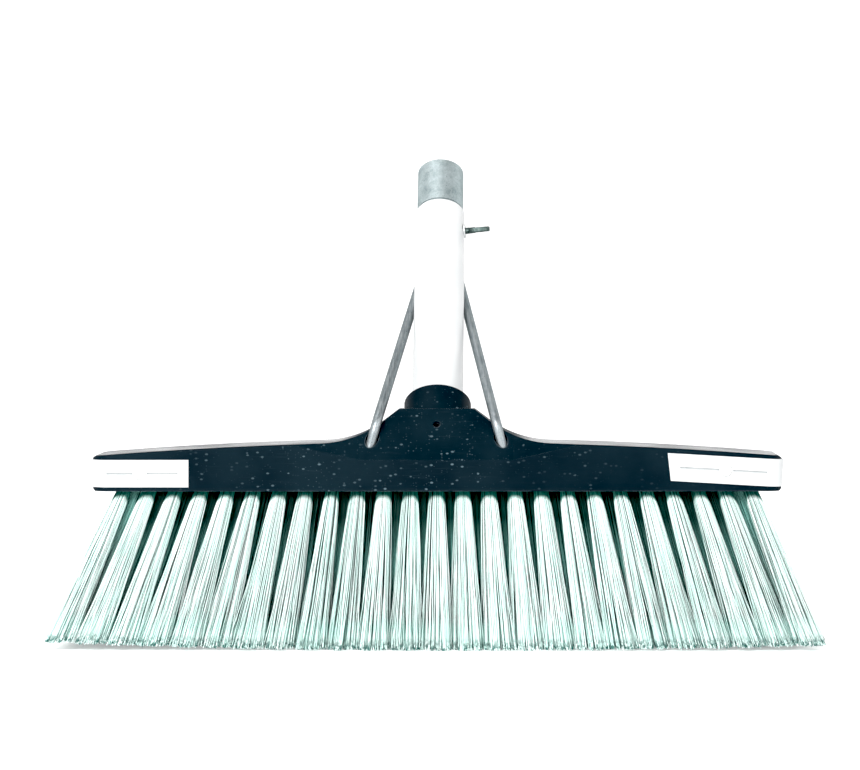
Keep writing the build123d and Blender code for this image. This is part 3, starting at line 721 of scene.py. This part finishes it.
@dataclass(frozen=True)
class StudioPaper(Finish):
    """Plain pale studio paper, which lets a camera under the floor see through it."""

    WHITE = (1.0, 1.0, 1.0, 1.0)

    paper: Colour = (0.9, 0.9, 0.9)
    glow: float = 0.34
    roughness: float = 0.9

    def dress(self, graph: NodeGraph, shader: bpy.types.Node, effects: EffectLibrary) -> None:
        """Adds the nodes of the floor."""
        plain = {
            "Base Color": (*self.paper, 1.0),
            "Roughness": self.roughness,
            "Specular IOR Level": 0.0,
            "Emission Color": self.WHITE,
            "Emission Strength": self.glow,
        }
        for name, value in plain.items():
            shader.inputs[name].default_value = value
        clear = graph.node("ShaderNodeBsdfTransparent")
        back = graph.node("ShaderNodeNewGeometry").outputs["Backfacing"]
        both = graph.node("ShaderNodeMixShader", {0: back, 1: shader, 2: clear})
        graph.feed(graph.tree.nodes["Material Output"].inputs["Surface"], both)


class Paintbox:
    """Makes each finish once, and finds it by the record's slot."""

    FINISHES = (
        MouldedPlastic("black_moulded_plastic", "block_plastic"),
        SoftRubber("white_soft_rubber", "bumper_rubber"),
        Nylon("white_rivet_nylon", "rivet_nylon"),
        BristleFibre("pale_green_fibre", "bristle_fibre"),
        DrawnSteel("anchor_wire_steel", "anchor_wire", grain=Grain.UPRIGHT, roughness=0.3),
        PowderCoat("white_powder_coat", "white_coating"),
        TurnedMetal("blackened_steel", "black_steel", (0.05, 0.052, 0.055), (0.02, 0.021, 0.024), 0.42),
        DrawnSteel("zinc_plated_rod", "zinc_rod"),
        DrawnSteel(
            "zinc_plated_fastener", "zinc_fastener", (0.55, 0.57, 0.55), (0.36, 0.38, 0.37), roughness=0.28
        ),
        TurnedMetal("turned_brass", "pad_brass"),
        # The dark screw takes the full edge share: a painted shade along its edges.
        DrawnSteel(
            "dark_screw_steel", "screw_steel", (0.16, 0.2, 0.19), (0.06, 0.09, 0.085), (0.008, 0.02, 0.018),
            Grain.UPRIGHT, spots=0.05, edge_radius=0.0011, edge_wear_and_shade=1.0,
        ),
        GalvanisedSteel("galvanised_steel", "galvanised_tube"),
        Nylon("natural_ring_nylon", "ring_nylon", (0.8, 0.8, 0.76), (0.7, 0.69, 0.63)),
    )

    def __init__(self) -> None:
        """Builds every finish."""
        effects = EffectLibrary()
        self.by_slot = {f.slot: f.material(effects) for f in self.FINISHES}
        self.paper = StudioPaper("studio_paper", "").material(effects)


# ---------------------------------------------------------------- pieces
class Workbench:
    """Turns node trees and frame nodes into finished pieces."""

    def __init__(self, paints: Paintbox) -> None:
        """Takes the finishes that the pieces are given."""
        self.paints = paints

    def dress_frame(self) -> None:
        """Gives every node of the frame the finish of its slot."""
        for entry in frame["record"]["subparts"]:
            shown = frame["nodes"][entry["node"]]
            shown.data.materials.clear()
            shown.data.materials.append(self.paints.by_slot[entry["material_slot"]])

    def grow(self, name: str, tree: "PieceTree", values: dict[str, Any], slot: str) -> bpy.types.Object:
        """Runs a geometry tree once and keeps its result as a plain mesh.

        Args:
            name: The piece's name.
            tree: The tree to run.
            values: The values of the tree's named inputs.
            slot: The record's slot whose finish the piece gets.

        Returns:
            The finished piece, which rides on nothing yet.
        """
        piece = bpy.data.objects.new(name, bpy.data.meshes.new(name))
        bpy.context.scene.collection.objects.link(piece)
        modifier = piece.modifiers.new("grow", "NODES")
        modifier.node_group = tree.graph.tree
        for title, value in {**values, "Finish": self.paints.by_slot[slot]}.items():
            modifier[tree.identifiers[title]] = value
        bpy.context.view_layer.update()
        ready = piece.evaluated_get(bpy.context.evaluated_depsgraph_get())
        mesh = bpy.data.meshes.new_from_object(ready)
        piece.modifiers.remove(modifier)
        piece.data = mesh
        mesh.name = name
        return piece

    def fit(self, piece: bpy.types.Object, body: Body, stands_for: tuple[str, ...] = ()) -> None:
        """Lets a piece ride on its body, in place of the nodes it stands for."""
        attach(piece, body.value)
        if stands_for:
            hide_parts(*stands_for)
        LOG.info("%s: %d faces on %s", piece.name, len(piece.data.polygons), body.value)


class PieceTree:
    """Base of the geometry trees: named inputs, and an end that joins and paints the result."""

    INPUTS: dict[str, str] = {}
    SMOOTH = True

    def __init__(self, name: str) -> None:
        """Makes the tree, its sockets and its nodes."""
        tree = bpy.data.node_groups.new(name, "GeometryNodeTree")
        self.graph = NodeGraph(tree)
        kinds = {"whole": "NodeSocketInt", "size": "NodeSocketFloat", "point": "NodeSocketVector"}
        self.identifiers = {}
        for title, kind in self.INPUTS.items():
            self.identifiers[title] = tree.interface.new_socket(
                title, in_out="INPUT", socket_type=kinds[kind]
            ).identifier
        self.identifiers["Finish"] = tree.interface.new_socket(
            "Finish", in_out="INPUT", socket_type="NodeSocketMaterial"
        ).identifier
        tree.interface.new_socket("Geometry", in_out="OUTPUT", socket_type="NodeSocketGeometry")
        self.given = self.graph.node("NodeGroupInput").outputs
        self.close(self.build())

    def build(self) -> Any:
        """Adds the nodes that make the shape and gives their last output. Each tree has its own."""
        raise NotImplementedError

    def close(self, shape: Any) -> None:
        """Realizes and paints the shape, and sends it out."""
        real = self.graph.node("GeometryNodeRealizeInstances", {0: shape})
        if self.SMOOTH:
            real = self.graph.node("GeometryNodeSetShadeSmooth", {0: real})
        painted = self.graph.node("GeometryNodeSetMaterial", {0: real, "Material": self.given["Finish"]})
        self.graph.feed(self.graph.node("NodeGroupOutput").inputs[0], painted)

    def row_of_points(self) -> Any:
        """One point for each tuft of a row, at the mouth of its hole."""
        graph, given = self.graph, self.given
        half = graph.times(graph.minus(given["Tufts"], 1.0), 0.5)
        first = graph.times(graph.times(half, given["Pitch"]), -1.0)
        line = {
            "Count": given["Tufts"],
            "Start Location": graph.combine(first, given["Row Y"], given["Level"]),
            "Offset": graph.combine(given["Pitch"]),
        }
        return graph.node("GeometryNodeMeshLine", line, mode="OFFSET")

    def ring(self, sides: int, radius: Any) -> Any:
        """A circle made of straight sides."""
        inputs = {"Resolution": sides, "Radius": radius}
        return self.graph.node("GeometryNodeCurvePrimitiveCircle", inputs, mode="RADIUS")

    def oblong(self, width: Any, height: Any) -> Any:
        """A rectangle round the origin."""
        inputs = {"Width": width, "Height": height}
        return self.graph.node("GeometryNodeCurvePrimitiveQuadrilateral", inputs)

    def sweep(self, path: Any, section: Any, **more: Any) -> Any:
        """A section drawn along a path."""
        inputs = {"Curve": path, "Profile Curve": section, **more}
        return self.graph.node("GeometryNodeCurveToMesh", inputs)

    def copies(self, points: Any, shape: Any) -> Any:
        """A copy of a shape at each point."""
        return self.graph.node("GeometryNodeInstanceOnPoints", {"Points": points, "Instance": shape})

    def moved(self, shape: Any, place: Any, turn: Any = (0.0, 0.0, 0.0)) -> Any:
        """A shape turned about the origin and then moved to its place."""
        inputs = {"Geometry": shape, "Translation": place, "Rotation": turn}
        return self.graph.node("GeometryNodeTransform", inputs)

    def joined(self, first: Any, second: Any) -> Any:
        """Two shapes as one."""
        both = self.graph.node("GeometryNodeJoinGeometry", {0: first})
        self.graph.feed(both.inputs[0], second)
        return both

    def along_curve(self) -> Any:
        """How far along its curve a point lies, from 0 to 1."""
        return self.graph.node("GeometryNodeSplineParameter").outputs["Factor"]


class TuftTree(PieceTree):
    """One row of tufts: fibres that leave each hole as a bundle, lean out and flare to their cut tips."""

    INPUTS = {
        "Tufts": "whole",
        "Pitch": "size",
        "Row Y": "size",
        "Level": "size",
        "Left Lean": "size",
        "Right Lean": "size",
        "Lean Across": "size",
        "Root Radius": "size",
        "Tip Radius": "size",
        "Fibres": "whole",
        "Fibre Radius": "size",
        "End X": "size",
        "Left Rise": "size",
        "Right Rise": "size",
        "Cut Spread": "size",
        "Stray": "size",
        "Wave": "size",
        "Inner": "size",
        "Seed": "whole",
    }
    STEPS = 9
    FIBRE_SIDES = 3
    END_SHARE = 0.93
    FLARE = 0.75
    CROWDING = 0.32
    LEAST_STRAY = 0.2
    CUT_POWER = 2.0
    STRAY_POWER = 4.0
    WAVES = 1.6

    def chance(self, high: float, salt: int) -> Any:
        """A random number from 0 up for each fibre, different for each salt."""
        seed = self.graph.plus(self.given["Seed"], float(salt))
        inputs = {"Min": 0.0, "Max": high, "Seed": seed}
        return self.graph.node("FunctionNodeRandomValue", inputs, data_type="FLOAT")

    def keep(self, geometry: Any, name: str, value: Any, kind: str = "FLOAT") -> Any:
        """Stores a value on every point."""
        inputs = {"Geometry": geometry, "Name": name, "Value": value}
        return self.graph.node("GeometryNodeStoreNamedAttribute", inputs, data_type=kind, domain="POINT")

    def recall(self, name: str, kind: str = "FLOAT") -> Any:
        """Reads a stored value."""
        return self.graph.node("GeometryNodeInputNamedAttribute", {"Name": name}, data_type=kind)

    def build(self) -> Any:
        """Adds the nodes of a row of tufts."""
        graph, given = self.graph, self.given
        points = self.fibre_points()
        line = graph.node("GeometryNodeCurvePrimitiveLine", {"End": (0.0, 0.0, 1.0)})
        line = graph.node("GeometryNodeResampleCurve", {"Curve": line, "Count": self.STEPS})
        fibres = graph.node("GeometryNodeRealizeInstances", {0: self.copies(points, line)})
        along = self.along_curve()
        bent = {"Geometry": fibres, "Position": self.fibre_path(along)}
        placed = self.keep(graph.node("GeometryNodeSetPosition", bent), "fibre_along", along)
        return self.sweep(placed, self.ring(self.FIBRE_SIDES, given["Fibre Radius"]), **{"Fill Caps": True})

    def fibre_points(self) -> Any:
        """A point at the root of each fibre, which keeps how its fibre runs and looks."""
        graph, given = self.graph, self.given
        row = {"Geometry": self.row_of_points(), "Amount": given["Fibres"]}
        points = graph.node("GeometryNodeDuplicateElements", row, domain="POINT")
        centre = graph.node("GeometryNodeInputPosition")
        x, y, _ = graph.split(centre)
        angle = self.chance(math.tau, 1)
        reach = graph.maths("POWER", self.chance(1.0, 2), self.CROWDING)
        across = graph.times(graph.maths("COSINE", angle), reach)
        aim = graph.combine(across, graph.times(graph.maths("SINE", angle), reach))
        share = graph.maths("DIVIDE", x, given["End X"])
        lift = graph.times(self.by_side(x, "Rise"), graph.times(share, share))
        cut = graph.times(graph.maths("POWER", self.chance(1.0, 3), self.CUT_POWER), given["Cut Spread"])
        lean = graph.combine(
            graph.times(x, self.by_side(x, "Lean")),
            graph.times(y, given["Lean Across"]),
            graph.minus(graph.plus(lift, cut), given["Level"]),
        )
        wild = graph.times(graph.maths("POWER", self.chance(1.0, 4), self.STRAY_POWER), given["Stray"])
        least = graph.times(given["Stray"], self.LEAST_STRAY)
        stray = graph.vector("SCALE", self.sideways(5), scale=graph.plus(wild, least))
        directions = {
            "fibre_root": centre,
            "fibre_aim": aim,
            "fibre_lean": lean,
            "fibre_stray": stray,
            "fibre_wave": self.sideways(6),
        }
        for name, value in directions.items():
            points = self.keep(points, name, value, "FLOAT_VECTOR")
        points = self.keep(points, "fibre_phase", self.chance(1.0, 7))
        points = self.keep(points, "fibre_tint", self.chance(1.0, 8))
        # How much painted shade the fibres of an inner row get, fading out at the ends of the row.
        fade = graph.spread(graph.maths("ABSOLUTE", share), self.END_SHARE, 1.0, 1.0, 0.0)
        return self.keep(points, "fibre_inner_shade", graph.times(given["Inner"], fade))

    def by_side(self, x: Any, what: str) -> Any:
        """The left or the right value of a size that differs between the two halves of the brush."""
        sides = {"False": self.given[f"Left {what}"], "True": self.given[f"Right {what}"]}
        is_right = self.graph.maths("GREATER_THAN", x, 0.0)
        return self.graph.node("GeometryNodeSwitch", {"Switch": is_right, **sides}, input_type="FLOAT")

    def sideways(self, salt: int) -> Any:
        """A level vector of length 1 in a random direction for each fibre."""
        turn = self.chance(math.tau, salt)
        return self.graph.combine(self.graph.maths("COSINE", turn), self.graph.maths("SINE", turn))

    def fibre_path(self, along: Any) -> Any:
        """Where a fibre runs, from its root at 0 to its tip at 1.

        Args:
            along: The share of the way along the fibre.

        Returns:
            The point there.
        """
        graph, given = self.graph, self.given
        root, aim, lean, stray, sway = (
            self.recall(f"fibre_{name}", "FLOAT_VECTOR") for name in ("root", "aim", "lean", "stray", "wave")
        )
        middle = graph.vector("MULTIPLY_ADD", lean, graph.combine(along, along, along), root)
        growth = graph.minus(given["Tip Radius"], given["Root Radius"])
        flare = graph.maths("POWER", along, self.FLARE)
        radius = graph.maths("MULTIPLY_ADD", growth, flare, given["Root Radius"])
        spread = graph.vector("SCALE", aim, scale=radius)
        wander = graph.vector("SCALE", stray, scale=graph.times(along, along))
        phase = graph.plus(self.recall("fibre_phase"), graph.times(along, self.WAVES))
        swing = graph.maths("SINE", graph.times(phase, math.tau))
        size = graph.times(graph.times(swing, along), given["Wave"])
        wave = graph.vector("SCALE", sway, scale=size)
        return graph.vector("ADD", graph.vector("ADD", middle, spread), graph.vector("ADD", wander, wave))


class DrilledSliceTree(PieceTree):
    """The slice of the block's underside that a row stands in, with a lipped hole for each tuft."""

    INPUTS = {
        "Tufts": "whole",
        "Pitch": "size",
        "Row Y": "size",
        "Level": "size",
        "Length": "size",
        "Width": "size",
        "Thickness": "size",
        "Hole Radius": "size",
        "Lip Radius": "size",
    }
    SMOOTH = False
    HOLE_SIDES = 16
    LIP_SIDES = 6
    SAME_POINT = 0.001 * MM

    def build(self) -> Any:
        """Adds the nodes of a drilled slice, whose flat faces stay flat."""
        graph, given = self.graph, self.given
        points = self.row_of_points()
        border = self.oblong(given["Length"], given["Width"])
        border = self.moved(border, graph.combine(0.0, given["Row Y"], 0.0))
        holes = self.copies(points, self.ring(self.HOLE_SIDES, given["Hole Radius"]))
        loops = self.joined(border, graph.node("GeometryNodeRealizeInstances", {0: holes}))
        face = graph.node("GeometryNodeFillCurve", {0: loops}, mode="TRIANGLES")
        rise = {
            "Mesh": face,
            "Offset": graph.combine(0.0, 0.0, 1.0),
            "Offset Scale": given["Thickness"],
            "Individual": False,
        }
        wall = graph.node("GeometryNodeExtrudeMesh", rise, mode="FACES")
        slab = self.joined(graph.node("GeometryNodeFlipFaces", {0: face}), wall)
        slab = graph.node("GeometryNodeMergeByDistance", {0: slab, "Distance": self.SAME_POINT})
        slab = graph.node("GeometryNodeSetShadeSmooth", {0: slab, "Shade Smooth": False})
        slab = self.moved(slab, graph.combine(0.0, 0.0, given["Level"]))
        rim = self.ring(self.HOLE_SIDES, graph.plus(given["Hole Radius"], given["Lip Radius"]))
        lip = self.sweep(rim, self.ring(self.LIP_SIDES, given["Lip Radius"]))
        return self.joined(slab, self.copies(points, lip))


class WeldTree(PieceTree):
    """A rippled weld bead round the foot of a tab, as a closed loop with rounded corners."""

    INPUTS = {
        "Width": "size",
        "Length": "size",
        "Bead Radius": "size",
        "Ripples": "size",
        "Turn": "point",
        "Place": "point",
    }
    STEPS = 150
    SIDES = 10
    RIPPLE_DEPTH = 0.12
    CORNER_SHARE = 0.4
    CORNER_STEPS = 6

    def build(self) -> Any:
        """Adds the nodes of a weld bead."""
        graph, given = self.graph, self.given
        border = self.oblong(given["Width"], given["Length"])
        corner = graph.times(given["Width"], self.CORNER_SHARE)
        rounded = {"Curve": border, "Radius": corner, "Count": self.CORNER_STEPS}
        loop = graph.node("GeometryNodeFilletCurve", rounded, mode="POLY")
        loop = graph.node("GeometryNodeResampleCurve", {"Curve": loop, "Count": self.STEPS})
        turned = graph.times(graph.times(self.along_curve(), given["Ripples"]), math.tau)
        size = graph.maths("MULTIPLY_ADD", graph.maths("SINE", turned), self.RIPPLE_DEPTH, 1.0)
        bead = self.sweep(loop, self.ring(self.SIDES, given["Bead Radius"]), Scale=size)
        return self.moved(bead, given["Place"], given["Turn"])


class ThreadTree(PieceTree):
    """A screw thread: a sharp ridge wound round a shank."""

    INPUTS = {
        "Radius": "size",
        "Ridge": "size",
        "Turns": "size",
        "Length": "size",
        "Turn": "point",
        "Place": "point",
    }
    STEPS_A_TURN = 20
    RIDGE_SIDES = 4

    def build(self) -> Any:
        """Adds the nodes of a thread."""
        given = self.given
        helix = {
            "Resolution": self.STEPS_A_TURN,
            "Rotations": given["Turns"],
            "Start Radius": given["Radius"],
            "End Radius": given["Radius"],
            "Height": given["Length"],
        }
        path = self.graph.node("GeometryNodeCurveSpiral", helix)
        thread = self.sweep(path, self.ring(self.RIDGE_SIDES, given["Ridge"]), **{"Fill Caps": True})
        return self.moved(thread, given["Place"], given["Turn"])


# ---------------------------------------------------------------- sub-assemblies
@dataclass
class BristleField:
    """Five staggered rows of tufts and the drilled slices that they stand in."""

    rows: int = 5
    row_pitch: float = 10.0 * MM
    tufts_in_long_row: int = 25
    tuft_pitch: float = 17.0 * MM
    underside: float = 103.5 * MM
    slice_length: float = 428.0 * MM
    slice_thickness: float = 2.4 * MM
    hole_radius: float = 4.75 * MM
    lip_radius: float = 0.35 * MM
    root_above: float = 1.9 * MM
    root_radius: float = 4.45 * MM
    tip_radius: float = 10.0 * MM
    left_lean: float = 0.208
    right_lean: float = 0.19
    lean_across: float = 0.5
    fibres: int = 150
    fibre_radius: float = 0.3 * MM
    left_rise: float = 5.0 * MM
    right_rise: float = 3.2 * MM
    cut_spread: float = 0.9 * MM
    stray: float = 4.0 * MM
    wave: float = 0.5 * MM
    seed: int = 41
    seed_step: int = 100

    def row_y(self, row: int) -> float:
        """Distance of a row from the middle of the block."""
        return (row - (self.rows - 1) / 2) * self.row_pitch

    def build(self, bench: Workbench) -> None:
        """Makes each row's tufts and slice.

        Args:
            bench: Where the pieces are made.
        """
        tufts, slices = TuftTree("row_of_tufts"), DrilledSliceTree("drilled_slice")
        for row in range(self.rows):
            node = f"bristle_row_{row + 1}"
            shared = {
                "Tufts": self.tufts_in_long_row - row % 2,
                "Pitch": self.tuft_pitch,
                "Row Y": self.row_y(row),
            }
            for name, tree, sizes, slot in (
                (f"{node}_tufts", tufts, self.fibre_sizes(row), "bristle_fibre"),
                (f"{node}_drilled_slice", slices, self.slice_sizes(), "block_plastic"),
            ):
                bench.fit(bench.grow(name, tree, {**shared, **sizes}, slot), Body.HEAD, (node,))

    def fibre_sizes(self, row: int) -> dict[str, Any]:
        """The tuft tree's sizes for one row."""
        return {
            "Level": self.underside + self.root_above,
            "Left Lean": self.left_lean,
            "Right Lean": self.right_lean,
            "Lean Across": self.lean_across,
            "Root Radius": self.root_radius,
            "Tip Radius": self.tip_radius,
            "Fibres": self.fibres,
            "Fibre Radius": self.fibre_radius,
            "End X": (self.tufts_in_long_row - 1) / 2 * self.tuft_pitch,
            "Left Rise": self.left_rise,
            "Right Rise": self.right_rise,
            "Cut Spread": self.cut_spread,
            "Stray": self.stray,
            "Wave": self.wave,
            # The inner rows get painted shade; the two outer rows do not.
            "Inner": 0.0 if row in (0, self.rows - 1) else 1.0,
            "Seed": self.seed + self.seed_step * row,
        }

    def slice_sizes(self) -> dict[str, Any]:
        """The drilled slice tree's sizes."""
        return {
            "Level": self.underside,
            "Length": self.slice_length,
            "Width": self.row_pitch,
            "Thickness": self.slice_thickness,
            "Hole Radius": self.hole_radius,
            "Lip Radius": self.lip_radius,
        }


@dataclass
class HandleFittings:
    """What the looks add to the handle: the lug's weld and the thumb screw's thread."""

    tube_radius: float = 16.95 * MM
    lug_along: float = 143.0 * MM
    lug_thickness: float = 5.0 * MM
    lug_foot: float = 26.0 * MM
    bead_radius: float = 1.5 * MM
    bead_lift: float = 0.9 * MM
    ripples: float = 38.0
    spigot_along: float = 187.0 * MM
    screw_radius: float = 2.05 * MM
    ridge: float = 0.22 * MM
    thread_pitch: float = 0.7 * MM
    thread_start: float = 17.6 * MM
    thread_end: float = 20.9 * MM

    def build(self, bench: Workbench) -> None:
        """Makes the weld and the thread.

        Args:
            bench: Where the pieces are made.
        """
        along = Vector(mount("pole_spigot")["axis"])
        mouth = Vector(mount("pole_spigot")["pos_m"]) - along * self.spigot_along
        back = Vector((0.0, along.z, -along.y))
        foot = mouth + along * self.lug_along + back * (self.tube_radius + self.bead_lift)
        weld = {
            "Width": self.lug_thickness,
            "Length": self.lug_foot,
            "Bead Radius": self.bead_radius,
            "Ripples": self.ripples,
            "Turn": self.facing(Vector((1.0, 0.0, 0.0)), along),
            "Place": foot,
        }
        bench.fit(bench.grow("stay_lug_weld", WeldTree("weld_bead"), weld, "white_coating"), Body.HEAD)
        screw = joint("clamp_screw_turn")
        outward = Vector(screw["axis"])
        middle = mouth + along * (Vector(screw["pos_m"]) - mouth).dot(along)
        length = self.thread_end - self.thread_start
        thread = {
            "Radius": self.screw_radius,
            "Ridge": self.ridge,
            "Turns": length / self.thread_pitch,
            "Length": length,
            "Turn": outward.to_track_quat("Z", "Y").to_euler(),
            "Place": middle + outward * self.thread_start,
        }
        piece = bench.grow("clamp_screw_thread", ThreadTree("screw_thread"), thread, "screw_steel")
        bench.fit(piece, Body.THUMB_SCREW)

    @staticmethod
    def facing(x_axis: Vector, y_axis: Vector) -> Any:
        """The turn that lays a flat shape's X and Y along two directions."""
        z_axis = x_axis.cross(y_axis)
        return Matrix((x_axis, y_axis, z_axis)).transposed().to_euler()


# ---------------------------------------------------------------- studio
@dataclass(frozen=True)
class Softbox:
    """One soft studio light."""

    name: str
    place: tuple[float, float, float]
    width: float
    height: float
    power: float


@dataclass
class Studio:
    """Pale floor that turns up into a wall all round, soft lights and the camera."""

    FLOOR_RINGS = 6
    BEND_STEPS = 12
    SIDES = 72

    floor_radius: float = 6.0
    wall_turn: float = 2.0
    wall_height: float = 7.0
    sky: Colour = (1.0, 1.0, 1.0)
    sky_strength: float = 0.34
    exposure: float = 0.12
    black_level: float = 0.016
    target: tuple[float, float, float] = (0.0, 0.0, 0.15)
    lights: tuple[Softbox, ...] = (
        Softbox("key_light", (-1.1, -2.7, 1.5), 1.2, 1.2, 86.0),
        Softbox("fill_light", (1.9, -2.4, 1.3), 1.8, 1.2, 20.0),
        Softbox("back_light", (0.4, 2.6, 2.4), 2.4, 1.4, 18.0),
        Softbox("top_light", (-0.9, 0.1, 3.1), 2.0, 2.4, 24.0),
    )
    camera_place: tuple[float, float, float] = (0.04248, -2.26108, 0.23929)
    camera_yaw: float = math.radians(-1.192)
    camera_down: float = math.radians(1.710)
    camera_roll: float = math.radians(-0.089)
    focal_pixels: float = 3434.0
    image_width: float = 860.0
    sensor_width: float = 36.0

    def build(self, paints: Paintbox) -> None:
        """Makes the floor, the lights and the camera."""
        self.make_floor(paints)
        self.make_lights()
        self.make_camera()

    def make_floor(self, paints: Paintbox) -> None:
        """Turns the floor's section round the upright axis."""
        rings = range(1, self.FLOOR_RINGS + 1)
        section = [(self.floor_radius * i / self.FLOOR_RINGS, 0.0) for i in rings]
        for i in range(1, self.BEND_STEPS + 1):
            angle = math.pi / 2 * i / self.BEND_STEPS
            out, up = self.wall_turn * math.sin(angle), self.wall_turn * (1 - math.cos(angle))
            section.append((self.floor_radius + out, up))
        section.append((self.floor_radius + self.wall_turn, self.wall_height))
        points = [(0.0, 0.0, 0.0)]
        for radius, height in section:
            for i in range(self.SIDES):
                angle = math.tau * i / self.SIDES
                points.append((radius * math.cos(angle), radius * math.sin(angle), height))
        corners = [(i, (i + 1) % self.SIDES) for i in range(self.SIDES)]
        faces = [(0, 1 + a, 1 + b) for a, b in corners]
        for ring in range(len(section) - 1):
            low, high = 1 + ring * self.SIDES, 1 + (ring + 1) * self.SIDES
            faces += [(low + a, high + a, high + b, low + b) for a, b in corners]
        mesh = bpy.data.meshes.new("studio_floor")
        mesh.from_pydata(points, [], faces)
        mesh.shade_smooth()
        mesh.materials.append(paints.paper)
        floor = bpy.data.objects.new("studio_floor", mesh)
        bpy.context.scene.collection.objects.link(floor)

    def make_lights(self) -> None:
        """Places the soft lights, each aimed at the brush, and the even sky."""
        for box in self.lights:
            light = bpy.data.lights.new(box.name, "AREA")
            light.shape = "RECTANGLE"
            light.size = box.width
            light.size_y = box.height
            light.energy = box.power
            holder = bpy.data.objects.new(box.name, light)
            holder.location = box.place
            aim = Vector(self.target) - Vector(box.place)
            holder.rotation_euler = aim.to_track_quat("-Z", "Y").to_euler()
            bpy.context.scene.collection.objects.link(holder)
        world = bpy.data.worlds.new("studio_sky")
        world.use_nodes = True
        sky = world.node_tree.nodes["Background"]
        sky.inputs["Color"].default_value = (*self.sky, 1.0)
        sky.inputs["Strength"].default_value = self.sky_strength
        bpy.context.scene.world = world
        view = bpy.context.scene.view_settings
        view.view_transform = "Standard"
        view.exposure = self.exposure
        view.use_curve_mapping = True
        view.curve_mapping.black_level = (self.black_level,) * 3

    def make_camera(self) -> None:
        """Places the camera where the photograph was taken from."""
        lens = bpy.data.cameras.new("camera")
        lens.sensor_width = self.sensor_width
        lens.lens = self.focal_pixels / self.image_width * self.sensor_width
        yaw, down, roll = self.camera_yaw, self.camera_down, self.camera_roll
        level = math.cos(down)
        forward = Vector((math.sin(yaw) * level, math.cos(yaw) * level, -math.sin(down)))
        holder = bpy.data.objects.new("camera", lens)
        upright = forward.to_track_quat("-Z", "Y").to_matrix().to_4x4()
        holder.matrix_world = Matrix.Translation(self.camera_place) @ upright @ Matrix.Rotation(roll, 4, "Z")
        bpy.context.scene.collection.objects.link(holder)
        bpy.context.scene.camera = holder


def main() -> None:
    """Builds the pieces in order and reports each one."""
    logging.basicConfig(level=logging.INFO, format="%(name)s: %(message)s")
    paints = Paintbox()
    bench = Workbench(paints)
    bench.dress_frame()
    BristleField().build(bench)
    HandleFittings().build(bench)
    Studio().build(paints)


if __name__ == "__main__":
    main()
